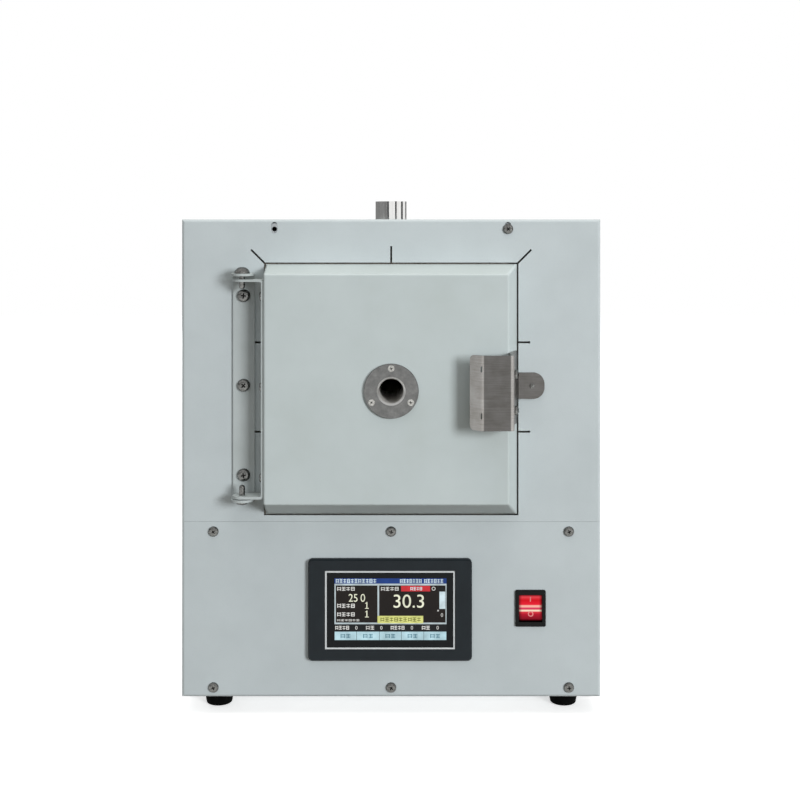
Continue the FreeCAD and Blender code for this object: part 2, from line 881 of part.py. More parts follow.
def heater(side):
    # one rod bent to and fro beside the muffle, with both ends out at the rear
    x = side * heater_offset
    bend = rod_pitch / 2
    front = muffle_start + rod_end_margin + rod_diameter + bend
    rear = muffle_end - rod_end_margin - rod_diameter - bend
    low = chamber_z - (rod_runs - 1) / 2 * rod_pitch
    tail = jacket_end + terminal_hole_depth
    path = []
    for run in range(rod_runs):
        z = low + run * rod_pitch
        rear_end = tail if run in (0, rod_runs - 1) else rear
        ends = (Vector(x, at(rear_end), z), Vector(x, at(front), z))
        start, end = ends if run % 2 == 0 else ends[::-1]
        path.append(Part.makeLine(start, end))
        if run < rod_runs - 1:
            turn = front - bend if run % 2 == 0 else rear + bend
            middle = Vector(x, at(turn), z + bend)
            following = Vector(x, end.y, z + rod_pitch)
            path.append(Part.Arc(end, middle, following).toShape())
    section = Part.Wire(Part.Circle(Vector(x, at(tail), low), Vector(0, 1, 0),
                                    rod_diameter / 2).toShape())
    return Part.Wire(path).makePipeShell([section], True, False)


def left_heater():
    return heater(-1)


def right_heater():
    return heater(1)


def terminal_blocks():
    blocks = []
    for x, z in heater_ends():
        block = rounded_box(x - terminal_width / 2, x + terminal_width / 2, jacket_end,
                            jacket_end + terminal_length, z - terminal_height / 2,
                            z + terminal_height / 2, 2.0)
        hole = across(x, z, jacket_end - 1, jacket_end + terminal_hole_depth + 1,
                      rod_diameter + 2 * rod_hole_gap)
        blocks.append(block.cut(hole))
    return Part.makeCompound(blocks)


def thermocouple():
    # ceramic sheath with its terminal head behind the jacket
    z = sheath_z()
    tip = chamber_start + chamber_depth - sheath_reach
    sheath = across(0, z, tip, jacket_end, sheath_diameter)
    sheath = sheath.makeFillet(sheath_diameter * 0.45,
                               edges_where(sheath, lambda p: on_plane(p.y, at(tip))))
    head = across(0, z, jacket_end, jacket_end + sheath_head_length, sheath_head_diameter)
    rim = edges_where(head, lambda p: on_plane(p.y, at(jacket_end + sheath_head_length)))
    head = head.makeChamfer(1.5, rim)
    return sheath.fuse(head).removeSplitter()


def vent_tube():
    # ceramic tube from the muffle's roof up into the spigot
    low = chamber_z + muffle_half_height
    high = cabinet_top
    base = Vector(0, at(vent_depth), low)
    outer = Part.makeCylinder(vent_bore / 2 + vent_tube_wall, high - low, base)
    inner = Part.makeCylinder(vent_bore / 2, high - low + 2, base - Vector(0, 0, 1))
    return outer.cut(inner)


def vent_spigot():
    # stainless outlet with a flange under the cover and a narrower neck through it
    under = cabinet_top - sheet
    base = Vector(0, at(vent_depth), under - spigot_flange_thickness)
    flange = Part.makeCylinder(spigot_flange_diameter / 2, spigot_flange_thickness, base)
    height = sheet + spigot_height + spigot_flange_thickness
    neck = Part.makeCylinder(spigot_diameter / 2 - spigot_neck_step, height, base)
    rise = spigot_flange_thickness + sheet + spigot_neck_rise
    wide = Part.makeCylinder(spigot_diameter / 2, height - rise, base + Vector(0, 0, rise))
    tube = neck.fuse(wide)
    bore = Part.makeCylinder(spigot_diameter / 2 - spigot_wall, height + 2, base - Vector(0, 0, 1))
    return flange.fuse(tube).removeSplitter().cut(bore)


# Door

def door_faces(inset, base_depth, face_depth):
    # outline of the pan at its base and at its face, moved inwards by inset
    base = (door_left + inset, door_right - inset, door_bottom + inset, door_top - inset)
    share = (face_depth + door_proud) / door_proud
    face = (base[0], base[1] - door_right_slope * (1 - share),
            base[2] + door_bottom_slope * (1 - share), base[3] - door_top_slope * (1 - share))
    return tapered_block(face, base, face_depth, base_depth)


def door_pan():
    # painted sheet pan: flat face, three sloped sides and a straight hinge side
    base = (door_left, door_right, door_bottom, door_top)
    outer = door_faces(0, 0, -door_proud)
    face = [edge for edge in outer.Edges
            if max(corner.Point.y for corner in edge.Vertexes) < at(0) - 1
            or abs(edge.Vertexes[0].Point.y - edge.Vertexes[-1].Point.y) > 1]
    outer = outer.makeFillet(door_bend, face)
    outer = outer.fuse(box(base[0], base[1], 0, door_recess, base[2], base[3]))
    inner = door_faces(door_sheet, 0, -door_proud + door_sheet)
    inner = inner.fuse(box(base[0] + door_sheet, base[1] - door_sheet, 0, door_recess + 1,
                           base[2] + door_sheet, base[3] - door_sheet))
    pan = outer.removeSplitter().cut(inner.removeSplitter())
    pan = pan.cut(across(0, chamber_z, -door_proud - 1, 0, port_bore + 2 * port_tube_wall
                         + 2 * port_hole_gap))
    for x, z in port_screw_places():
        pan = pan.cut(across(x, z, -door_proud - 1, 0, port_screw_shank + 2 * hole_gap))
    for z in web_screw_heights():
        pan = pan.cut(rod(web_screw_shank + 2 * hole_gap,
                          Vector(door_left - 1, at(pivot_depth), z),
                          Vector(door_left + 2 * door_sheet, at(pivot_depth), z)))
    for seat, outward in handle_screw_seats():
        pan = pan.cut(rod(handle_screw_shank + 2 * hole_gap, seat, seat - outward * 8))
    return pan


def plug_profile(gap_base, gap_tip, depth0, depth1):
    base = (-gap_base[0], gap_base[0], chamber_z - gap_base[1], chamber_z + gap_base[1])
    tip = (-gap_tip[0], gap_tip[0], chamber_z - gap_tip[1], chamber_z + gap_tip[1])
    return tapered_block(base, tip, depth0, depth1, plug_corner)


def door_insulation():
    # fibre board that fills the pan, with the tapered plug in one piece
    inset = door_sheet + core_gap
    front = -door_proud + inset
    core = door_faces(inset, liner_rear - liner_sheet, front)
    base_half = (plug_base_half_width, plug_base_half_height)
    tip_half = (plug_tip_half_width, plug_tip_half_height)
    neck = rounded_box(-base_half[0], base_half[0], front + 1, mouth_face, chamber_z - base_half[1],
                       chamber_z + base_half[1], plug_corner)
    plug = plug_profile(base_half, tip_half, mouth_face, plug_end)
    body = core.fuse(neck).fuse(plug).removeSplitter()
    hole = across(0, chamber_z, -door_proud, plug_end + 1, port_bore + 2 * port_tube_wall
                  + 2 * port_hole_gap)
    body = body.cut(hole)
    for x, z in port_screw_places():
        body = body.cut(across(x, z, -door_proud, -door_proud + port_screw_reach + 1,
                               port_screw_shank + 2 * hole_gap))
    for z in web_screw_heights():
        body = body.cut(rod(web_screw_shank + 2, Vector(door_left, at(pivot_depth), z),
                            Vector(door_left + web_screw_reach, at(pivot_depth), z)))
    for seat, outward in handle_screw_seats():
        body = body.cut(rod(handle_screw_shank + 2, seat, seat - outward * (handle_screw_reach + 2)))
    return body


def door_liner():
    # stainless frame over the pan's open back, round the plug
    inset = door_sheet + liner_gap
    plate = box(door_left + inset, door_right - inset, liner_rear - liner_sheet, liner_rear,
                door_bottom + inset, door_top - inset)
    window_w = plug_base_half_width + core_gap
    window_h = plug_base_half_height + core_gap
    window = rounded_box(-window_w, window_w, -1, liner_rear + 1, chamber_z - window_h,
                         chamber_z + window_h, plug_corner)
    return plate.cut(window)


def door_seal():
    # flat fibre rope round the plug, pressed against the mouth block when shut
    inner_w = plug_base_half_width + seal_inset
    inner_h = plug_base_half_height + seal_inset
    outer = rounded_box(-inner_w - seal_width, inner_w + seal_width, liner_rear, seal_rear,
                        chamber_z - inner_h - seal_width, chamber_z + inner_h + seal_width,
                        plug_corner + seal_width)
    edges = edges_where(outer, lambda p: on_plane(p.y, at(seal_rear)))
    outer = outer.makeFillet(1.5, edges)
    inner = rounded_box(-inner_w, inner_w, liner_rear - 1, seal_rear + 1, chamber_z - inner_h,
                        chamber_z + inner_h, plug_corner)
    return outer.cut(inner)


def port_screw_places():
    places = []
    for angle in (90, 210, 330):
        turn = math.radians(angle)
        places.append((port_screw_circle / 2 * math.cos(turn),
                       chamber_z + port_screw_circle / 2 * math.sin(turn)))
    return places


def port_ring():
    face = -door_proud - port_ring_thickness
    ring = across(0, chamber_z, face, -door_proud, port_ring_diameter)
    ring = ring.makeChamfer(0.4, edges_where(ring, lambda p: on_plane(p.y, at(face))))
    bore = across(0, chamber_z, face - 1, -door_proud + 1, port_bore)
    ring = ring.cut(bore)
    mouth = Part.makeCone(port_bore / 2 + port_chamfer, port_bore / 2, port_chamfer,
                          Vector(0, at(face), chamber_z), Vector(0, 1, 0))
    ring = ring.cut(mouth)
    for x, z in port_screw_places():
        sink = Part.makeCone(port_screw_head / 2 + 0.1, port_screw_shank / 2 + 0.1, 1.6,
                             Vector(x, at(face), z), Vector(0, 1, 0))
        ring = ring.cut(sink).cut(across(x, z, face, -door_proud + 1, port_screw_shank + 0.4))
    return ring


def port_screws():
    face = -door_proud - port_ring_thickness
    screws = []
    for x, z in port_screw_places():
        head = Part.makeCone(port_screw_head / 2, port_screw_shank / 2, 1.5,
                             Vector(x, at(face + 0.1), z), Vector(0, 1, 0))
        shank = across(x, z, face + 1, face + port_screw_reach, port_screw_shank)
        screws.append(head.fuse(shank).removeSplitter())
    return Part.makeCompound(screws)


def observation_tube():
    outer = across(0, chamber_z, -door_proud, plug_end, port_bore + 2 * port_tube_wall)
    return outer.cut(across(0, chamber_z, -door_proud - 1, plug_end + 1, port_bore))


# Hinge

def hinge_screw_places():
    return [(hinge_x, hinge_centre_height + step * hinge_screw_spacing) for step in (-1, 0, 1)]


def web_screw_heights():
    return [hinge_centre_height + step * web_screw_spacing for step in (-1, 0, 1)]


def fixed_hinge_bracket():
    # a strip on the panel with an ear at each end
    reach = pivot_depth - hinge_strip_width / 2
    points = [(reach, strip_bottom), (0, strip_bottom), (0, strip_top), (reach, strip_top)]
    x0 = hinge_x - hinge_strip_width / 2
    place = lambda u, v: Vector(x0, at(u), v)
    bracket = folded_sheet(points, hinge_sheet, hinge_bend, place,
                           Vector(hinge_strip_width, 0, 0))
    keep = box(x0 - 1, x0 + hinge_strip_width + 1, pivot_depth, 1, strip_bottom - 1,
               strip_top + 1)
    round_end = Part.makeCylinder(hinge_strip_width / 2, hinge_strip_height + 2,
                                  Vector(hinge_x, at(pivot_depth), strip_bottom - 1))
    bracket = bracket.common(keep.fuse(round_end))
    bracket = bracket.cut(pivot_hole(strip_bottom - 1, strip_top + 1, 0.05))
    for x, z in hinge_screw_places():
        bracket = bracket.cut(across(x, z, -hinge_sheet - 1, 1, hinge_screw_shank + 2 * hole_gap))
    return bracket


def pivot_hole(z0, z1, gap):
    return rod(pivot_diameter + 2 * gap, Vector(hinge_x, at(pivot_depth), z0),
               Vector(hinge_x, at(pivot_depth), z1))


def door_hinge_bracket():
    # a web on the door's side with two ears round the pivots
    web = door_left - hinge_sheet
    reach = hinge_x - ear_width / 2
    points = [(reach, door_ear_bottom), (web + hinge_sheet, door_ear_bottom),
              (web + hinge_sheet, door_ear_top), (reach, door_ear_top)]
    front = pivot_depth - ear_width / 2
    rear = -web_rear_gap
    place = lambda u, v: Vector(u, at(front), v)
    bracket = folded_sheet(points, hinge_sheet, hinge_bend, place, Vector(0, rear - front, 0))
    web_start = web - hinge_bend
    keep = box(web_start, door_left + 1, front - 1, rear + 1, door_ear_bottom - 1,
               door_ear_top + 1)
    ear = box(hinge_x, web_start + 1, front, pivot_depth + ear_width / 2, door_ear_bottom - 1,
              door_ear_top + 1)
    round_end = Part.makeCylinder(ear_width / 2, door_ear_top - door_ear_bottom + 2,
                                  Vector(hinge_x, at(pivot_depth), door_ear_bottom - 1))
    bracket = bracket.common(keep.fuse(ear).fuse(round_end))
    bracket = bracket.cut(pivot_hole(door_ear_bottom - 1, door_ear_top + 1, pivot_fit))
    for z in web_screw_heights():
        bracket = bracket.cut(rod(web_screw_shank + 2 * hole_gap,
                                  Vector(web - 1, at(pivot_depth), z),
                                  Vector(door_left + 1, at(pivot_depth), z)))
    return bracket


def hinge_screws():
    return Part.makeCompound([front_screw(x, z, -hinge_sheet, hinge_screw_reach + hinge_sheet, hinge_screw_head,
                                          hinge_screw_head_height, hinge_screw_shank)
                              for x, z in hinge_screw_places()])


def web_screws():
    screws = []
    for z in web_screw_heights():
        seat = Vector(door_left - hinge_sheet, at(pivot_depth), z)
        screws.append(dome_screw(web_screw_head, web_screw_head_height, web_screw_shank,
                                 web_screw_reach, seat, Vector(-1, 0, 0)))
    return Part.makeCompound(screws)


def pivot_screws():
    # the upper one hangs from its ear, the lower one stands in its own
    upper_reach = strip_top - door_ear_top + hinge_sheet + pivot_tip_top
    lower_reach = door_ear_bottom - strip_bottom + hinge_sheet + pivot_tip_bottom
    upper = dome_screw(pivot_head_diameter, pivot_head_height, pivot_diameter, upper_reach,
                       Vector(hinge_x, at(pivot_depth), strip_top), Vector(0, 0, 1), True)
    lower = dome_screw(pivot_head_diameter - 2, pivot_low_head_height, pivot_diameter, lower_reach,
                       Vector(hinge_x, at(pivot_depth), strip_bottom), Vector(0, 0, -1), True)
    return Part.makeCompound([upper, lower])


def pivot_washer():
    base = Vector(hinge_x, at(pivot_depth), strip_bottom + hinge_sheet)
    disc = Part.makeCylinder(pivot_washer_diameter / 2, pivot_washer_thickness, base)
    return disc.cut(pivot_hole(base.z - 1, base.z + pivot_washer_thickness + 1, 0.2))


# Handle and latch

def slope_point(depth, offset):
    # a point beside the door's sloped right side, offset outwards
    share = -depth / door_proud
    angle = math.atan2(door_right_slope, door_proud)
    return (door_right - door_right_slope * share + offset / math.cos(angle), depth)


def handle_side_x():
    return door_right - door_right_slope + handle_side_gap


def door_handle():
    # lip, grip, side plate, sloped foot on the door and latch tab, folded from one strip
    side = handle_side_x()
    grip_left = side + handle_sheet - handle_grip_width
    lip = math.radians(handle_lip_angle)
    lip_end = (grip_left - handle_lip * math.cos(lip), -handle_reach + handle_lip * math.sin(lip))
    foot = slope_point(-tab_gap - handle_sheet, handle_sheet)
    face_edge = slope_point(-door_proud, handle_sheet)
    knee_depth = -door_proud + (side + handle_sheet - face_edge[0]) * door_proud / door_right_slope
    points = [lip_end, (grip_left, -handle_reach), (side + handle_sheet, -handle_reach),
              (side + handle_sheet, knee_depth), foot, (tab_end_x, foot[1])]
    bottom = handle_centre_height - handle_height / 2
    place = lambda u, v: Vector(u, at(v), bottom)
    body = folded_sheet(points, handle_sheet, handle_bend, place, Vector(0, 0, handle_height))
    top = bottom + handle_height
    tab_low = tab_centre_height - tab_height / 2
    tab_high = tab_centre_height + tab_height / 2
    for low, high in ((bottom - 1, tab_low), (tab_high, top + 1)):
        body = body.cut(box(side, tab_end_x + 1, -handle_foot_stop, 1, low, high))
    slot_front = -handle_reach - 1
    for x in (grip_left, side + handle_sheet):
        for step in (-0.5, 0.5):
            z = handle_centre_height + 0.5 + step * handle_slot_spacing
            body = body.cut(box(x - handle_slot_width / 2, x + handle_slot_width / 2, slot_front,
                                slot_front + handle_sheet + 2.5, z - handle_slot_length / 2,
                                z + handle_slot_length / 2))
    for x, z in ((tab_end_x, tab_low), (tab_end_x, tab_high)):
        edges = edges_where(body, lambda p: on_plane(p.x, x) and on_plane(p.z, z))
        body = body.makeFillet(tab_corner, edges)
    for z in (bottom, top):
        edges = edges_where(body, lambda p: on_plane(p.z, z) and p.x < lip_end[0] + 2.5)
        edges = [edge for edge in edges if edge.Length < handle_sheet + 0.5]
        body = body.makeFillet(handle_corner, edges)
    for seat, outward in handle_screw_seats():
        body = body.cut(rod(handle_screw_shank + 2 * hole_gap, seat + outward,
                            seat - outward * (handle_sheet + 2)))
    body = body.cut(across(stud_x, tab_centre_height, -5, 0, stud_diameter + 0.1))
    return body


def handle_screw_seats():
    # seats on the foot's outer face, with the outward direction
    angle = math.atan2(door_right_slope, door_proud)
    outward = Vector(math.cos(angle), -math.sin(angle), 0)
    x, depth = slope_point(-door_proud * 0.46, handle_sheet)
    return [(Vector(x, at(depth), handle_screw_centre_height + step * handle_screw_spacing), outward)
            for step in (-0.5, 0.5)]


def handle_screws():
    return Part.makeCompound([dome_screw(handle_screw_head, handle_screw_head_height,
                                         handle_screw_shank, handle_screw_reach, seat, outward)
                              for seat, outward in handle_screw_seats()])


def latch_stud():
    face = -tab_gap - handle_sheet
    return dome_screw(stud_head_diameter, stud_head_height, stud_diameter, handle_sheet,
                      Vector(stud_x, at(face), tab_centre_height), Vector(0, -1, 0))


def latch_magnet():
    return across(stud_x, tab_centre_height, sheet, sheet + magnet_thickness, magnet_diameter)


# Display

def display_opening():
    gap = housing_gap
    return box(display_x - housing_width / 2 - gap, display_x + housing_width / 2 + gap,
               -sheet, 2 * sheet, display_height_above_bench - housing_height / 2 - gap,
               display_height_above_bench + housing_height / 2 + gap)


def centred_block(x, z, width, height, depth0, depth1, radius):
    return rounded_box(x - width / 2, x + width / 2, depth0, depth1, z - height / 2,
                       z + height / 2, radius)


def display_bezel():
    z = display_height_above_bench
    block = centred_block(display_x, z, bezel_width, bezel_height, -bezel_thickness, 0,
                          bezel_corner)
    rim = edges_where(block, lambda p: on_plane(p.y, at(-bezel_thickness)))
    block = block.makeChamfer(bezel_chamfer, rim)
    window = centred_block(display_x, z, screen_width, screen_height, -bezel_thickness - 1, 1, 1.0)
    return block.cut(window)


def display_screen():
    front = -bezel_thickness + screen_recess
    return centred_block(display_x, display_height_above_bench, screen_width - 0.4,
                         screen_height - 0.4, front, front + screen_thickness, 0.8)


def display_housing():
    z = display_height_above_bench
    body = centred_block(display_x, z, housing_width, housing_height, 0, housing_depth, 3.0)
    rim = edges_where(body, lambda p: on_plane(p.y, at(housing_depth)))
    body = body.makeChamfer(2.0, rim)
    front = -bezel_thickness + screen_recess + screen_thickness
    pedestal = centred_block(display_x, z, screen_width - 1, screen_height - 1, front, 1, 0.8)
    return body.fuse(pedestal).removeSplitter()


def display_clamps():
    # screw clamps on the housing's top and bottom that pull the bezel to the panel
    clamps = []
    for side in (-1, 1):
        edge = display_height_above_bench + side * housing_height / 2
        low, high = sorted((edge, edge + side * clamp_height))
        for step in (-0.5, 0.5):
            x = display_x + step * clamp_spacing
            block = box(x - clamp_width / 2, x + clamp_width / 2, sheet, sheet + clamp_reach, low,
                        high)
            clamps.append(block.cut(box(x - clamp_width, x + clamp_width, sheet + 2,
                                        sheet + clamp_reach - 3, edge + side * 4 - 2,
                                        edge + side * 4 + 2)))
    return Part.makeCompound(clamps)


# Rocker switch

def switch_opening(gap):
    return box(switch_x - switch_body_width / 2 - gap, switch_x + switch_body_width / 2 + gap,
               -sheet, 2 * sheet, switch_height_above_bench - switch_body_height / 2 - gap,
               switch_height_above_bench + switch_body_height / 2 + gap)


def switch_frame():
    z = switch_height_above_bench
    flange = centred_block(switch_x, z, switch_flange_width, switch_flange_height,
                           -switch_flange_thickness, 0, switch_corner)
    rim = edges_where(flange, lambda p: on_plane(p.y, at(-switch_flange_thickness)))
    flange = flange.makeChamfer(0.6, rim)
    body = centred_block(switch_x, z, switch_body_width, switch_body_height, -0.5,
                         switch_body_depth, 0.8)
    solid = flange.fuse(body).removeSplitter()
    half_w = rocker_width / 2 + rocker_gap
    half_h = rocker_radius + rocker_gap
    solid = solid.cut(box(switch_x - half_w, switch_x + half_w, -switch_flange_thickness - 1,
                          rocker_well_depth, z - half_h, z + half_h))
    pin = rod(rocker_pin_diameter + 2 * rocker_pin_fit,
              Vector(switch_x - half_w - rocker_pin_length, at(rocker_pivot_depth), z),
              Vector(switch_x + half_w + rocker_pin_length, at(rocker_pivot_depth), z))
    solid = solid.cut(pin)
    for step in (-1, 0, 1):
        tab_z = z + step * 8.0
        solid = solid.fuse(box(switch_x - switch_tab_width / 2, switch_x + switch_tab_width / 2,
                               switch_body_depth - 1, switch_body_depth + switch_tab_length,
                               tab_z - switch_tab_thickness / 2, tab_z + switch_tab_thickness / 2))
    return solid


def switch_rocker():
    # drawn level, with both ends round the pivot, then tipped with its upper end pressed
    z = switch_height_above_bench
    tip = math.radians(rocker_tip_angle)
    tail = math.radians(38)
    radius = rocker_radius
    pivot = Vector(switch_x - rocker_width / 2, at(rocker_pivot_depth), z)

    def point(angle, end, size=radius):
        return pivot + Vector(0, -size * math.sin(angle), end * size * math.cos(angle))

    dish = pivot + Vector(0, -radius * math.sin(tip) + rocker_dish, 0)
    edges = [Part.Arc(point(tip, 1), dish, point(tip, -1)).toShape(),
             Part.Arc(point(tip, -1), point(0, -1), point(-tail, -1)).toShape(),
             Part.makeLine(point(-tail, -1), point(-tail, 1)),
             Part.Arc(point(-tail, 1), point(0, 1), point(tip, 1)).toShape()]
    body = Part.Face(Part.Wire(edges)).extrude(Vector(rocker_width, 0, 0))
    reach = rocker_gap + rocker_pin_length - 0.3
    pin = rod(rocker_pin_diameter, pivot - Vector(reach, 0, 0),
              pivot + Vector(rocker_width + reach, 0, 0))
    body = body.fuse(pin).removeSplitter()
    body.rotate(pivot, Vector(1, 0, 0), -rocker_tilt)
    return body


# Mains inlet

def inlet_block(depth0, depth1, gap=0.0):
    return box(inlet_x - inlet_body_width / 2 - gap, inlet_x + inlet_body_width / 2 + gap, depth0,
               depth1, inlet_height_above_bench - inlet_body_height / 2 - gap,
               inlet_height_above_bench + inlet_body_height / 2 + gap)


def mains_inlet():
    z = inlet_height_above_bench
    face = cabinet_depth + inlet_flange_thickness
    flange = centred_block(inlet_x, z, inlet_flange_width, inlet_flange_height, cabinet_depth,
                           face, inlet_flange_corner)
    body = inlet_block(cabinet_depth - inlet_body_depth, cabinet_depth + 0.5)
    solid = flange.fuse(body).removeSplitter()
    half_w = inlet_cavity_width / 2
    cavity = box(inlet_x - half_w, inlet_x + half_w, face - inlet_cavity_depth, face + 1,
                 z - inlet_cavity_height / 2, z + inlet_cavity_height / 2)
    corners = edges_where(cavity, lambda p: on_plane(p.z, z + inlet_cavity_height / 2))
    corners = [edge for edge in corners if edge.Length > inlet_cavity_depth
               and abs(edge.Vertexes[0].Point.x - edge.Vertexes[-1].Point.x) < 1]
    cavity = cavity.makeChamfer(inlet_cavity_chamfer, corners)
    solid = solid.cut(cavity)
    for side in (-1, 1):
        x = inlet_x + side * inlet_screw_spacing / 2
        solid = solid.cut(across(x, z, cabinet_depth - 1, face + 1,
                                 port_screw_shank + 2 * hole_gap))
        sink = Part.makeCone(port_screw_shank / 2 + 0.1, inlet_screw_head / 2 + 0.1,
                             inlet_screw_head_height + 0.1,
                             Vector(x, at(face) - inlet_screw_head_height, z), Vector(0, 1, 0))
        solid = solid.cut(sink)
    for step, rise in ((-1, -1), (0, 1), (1, -1)):
        x = inlet_x + step * inlet_pin_spacing
        pin_z = z + rise * inlet_pin_drop / 2
        start = face - inlet_cavity_depth
        solid = solid.fuse(box(x - inlet_pin_thickness / 2, x + inlet_pin_thickness / 2, start - 1,
                               start + inlet_pin_length, pin_z - inlet_pin_width / 2,
                               pin_z + inlet_pin_width / 2))
    return solid


def inlet_screws():
    screws = []
    face = cabinet_depth + inlet_flange_thickness
    for side in (-1, 1):
        seat = Vector(inlet_x + side * inlet_screw_spacing / 2, at(face), inlet_height_above_bench)
        head = Part.makeCone(port_screw_shank / 2, inlet_screw_head / 2, inlet_screw_head_height,
                             seat - Vector(0, inlet_screw_head_height, 0), Vector(0, 1, 0))
        shank = rod(port_screw_shank, seat - Vector(0, 10, 0), seat - Vector(0, 1, 0))
        screws.append(head.fuse(shank).removeSplitter())
    return Part.makeCompound(screws)


# Electrics

def heat_sink():
    z = tray_bottom + sheet
    x0 = sink_x - sink_width / 2
    d0 = sink_depth - sink_length / 2
    height = sink_base + sink_fin_height
    base = box(x0, x0 + sink_width, d0, d0 + sink_length, z + sink_fin_height, z + height)
    pitch = (sink_width - sink_fin_thickness) / (sink_fins - 1)
    for index in range(sink_fins):
        x = x0 + index * pitch
        base = base.fuse(box(x, x + sink_fin_thickness, d0, d0 + sink_length, z,
                             z + sink_fin_height))
    return base.removeSplitter()


def solid_state_relay():
    z = tray_bottom + sheet + sink_base + sink_fin_height
    block = Part.makeBox(relay_width, relay_length, relay_height,
                         Vector(sink_x - relay_width / 2, at(sink_depth) - relay_length / 2, z))
    upright = [edge for edge in block.Edges
               if abs(edge.Vertexes[0].Point.z - edge.Vertexes[-1].Point.z) > 1]
    block = block.makeFillet(relay_corner, upright)
    for side in (-1, 1):
        edge = at(sink_depth) + side * relay_length / 2
        low = min(edge, edge - side * 12)
        block = block.cut(Part.makeBox(relay_width - 8, 12, 8,
                                       Vector(sink_x - relay_width / 2 + 4, low,
                                              z + relay_height - 7)))
    return block


def power_supply():
    z = tray_bottom + sheet
    x0 = supply_x - supply_width / 2
    d0 = supply_depth - supply_length / 2
    case = box(x0, x0 + supply_width, d0, d0 + supply_length, z, z + supply_height)
    case = case.cut(box(x0 + 2, x0 + supply_width - 2, d0 - 1, d0 + 12, z + 12,
                        z + supply_height + 1))
    slots = []
    for row in range(4):
        for column in range(5):
            depth = d0 + 32 + row * 18
            x = x0 + 14 + column * 13.5
            slots.append(box(x - 4, x + 4, depth - 2, depth + 2, z + supply_height - 2,
                             z + supply_height + 1))
    return case.cut(Part.makeCompound(slots))


nodes = {
    "base_tray": base_tray,
    "lower_front_panel": lower_front_panel,
    "upper_front_panel": upper_front_panel,
    "outer_cover": outer_cover,
    "rear_panel": rear_panel,
    "divider_shelf": divider_shelf,
    "front_crossbar": front_crossbar,
    "rear_crossbar": rear_crossbar,
    "rubber_feet": rubber_feet,
    "foot_screws": foot_screws,
    "lower_panel_screws": lower_panel_screws,
    "upper_panel_screw": upper_panel_screw,
    "rear_panel_screws": rear_panel_screws,
    "inner_jacket": inner_jacket,
    "mouth_block": mouth_block,
    "muffle": muffle,
    "insulation_top": insulation_top_block,
    "insulation_bottom": insulation_bottom_block,
    "insulation_left": insulation_left_block,
    "insulation_right": insulation_right_block,
    "insulation_rear": insulation_rear_block,
    "left_heater": left_heater,
    "right_heater": right_heater,
    "heater_terminals": terminal_blocks,
    "thermocouple": thermocouple,
    "vent_tube": vent_tube,
    "vent_spigot": vent_spigot,
    "fixed_hinge_bracket": fixed_hinge_bracket,
    "hinge_screws": hinge_screws,
    "pivot_screws": pivot_screws,
    "pivot_washer": pivot_washer,
    "latch_magnet": latch_magnet,
    "display_bezel": display_bezel,
    "display_screen": display_screen,
    "display_housing": display_housing,
    "display_clamps": display_clamps,
    "switch_frame": switch_frame,
    "mains_inlet": mains_inlet,
    "inlet_screws": inlet_screws,
    "heat_sink": heat_sink,
    "solid_state_relay": solid_state_relay,
    "power_supply": power_supply,
    "door_pan": door_pan,
    "door_insulation": door_insulation,
    "door_liner": door_liner,
    "door_seal": door_seal,
    "observation_tube": observation_tube,
    "port_ring": port_ring,
    "port_screws": port_screws,
    "door_hinge_bracket": door_hinge_bracket,
    "web_screws": web_screws,
    "door_handle": door_handle,
    "handle_screws": handle_screws,
    "latch_stud": latch_stud,
    "switch_rocker": switch_rocker,
}

os.makedirs("parts", exist_ok=True)
for name, make in nodes.items():
    shape = make()
    shape.exportStep(f"parts/{name}.step")
    print(name, len(shape.Solids), round(shape.Volume / 1000, 2), shape.isValid())
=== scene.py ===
import math
import bpy
import bmesh
from mathutils import Matrix, Vector


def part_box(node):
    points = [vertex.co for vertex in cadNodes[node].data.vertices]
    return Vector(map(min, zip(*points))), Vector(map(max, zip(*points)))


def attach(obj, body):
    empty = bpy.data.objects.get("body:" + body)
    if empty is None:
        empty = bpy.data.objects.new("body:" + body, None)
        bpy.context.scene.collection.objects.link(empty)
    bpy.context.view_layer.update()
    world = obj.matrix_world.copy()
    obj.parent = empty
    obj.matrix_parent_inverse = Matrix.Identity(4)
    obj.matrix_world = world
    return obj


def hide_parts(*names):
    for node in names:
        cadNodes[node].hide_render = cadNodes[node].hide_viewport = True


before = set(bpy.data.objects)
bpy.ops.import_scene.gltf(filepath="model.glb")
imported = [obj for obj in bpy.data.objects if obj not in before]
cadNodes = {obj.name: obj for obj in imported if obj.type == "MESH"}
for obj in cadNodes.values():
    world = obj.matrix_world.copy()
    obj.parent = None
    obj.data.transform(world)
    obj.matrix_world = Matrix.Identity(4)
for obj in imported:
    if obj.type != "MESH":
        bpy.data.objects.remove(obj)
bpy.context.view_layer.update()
mm = 0.001
print("frame loaded:", len(cadNodes), "nodes")


# small helpers

def boxOf(nodeName):
    low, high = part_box(nodeName)
    return low, high, (low + high) / 2


frontY = boxOf("lower_front_panel")[0].y    # outer face of the front panels


def clearSelection():
    bpy.ops.object.select_all(action="DESELECT")


def activate(piece):
    clearSelection()
    piece.select_set(True)
    bpy.context.view_layer.objects.active = piece


def applyModifier(piece, kind, **settings):
    activate(piece)
    modifier = piece.modifiers.new(kind.title(), kind)
    for name, value in settings.items():
        setattr(modifier, name, value)
    bpy.ops.object.modifier_apply(modifier=modifier.name)


def applyPlace(piece):
    activate(piece)
    bpy.ops.object.transform_apply(location=True, rotation=True, scale=True)


def facesDown(middle, face):
    return face.normal.z < -0.9


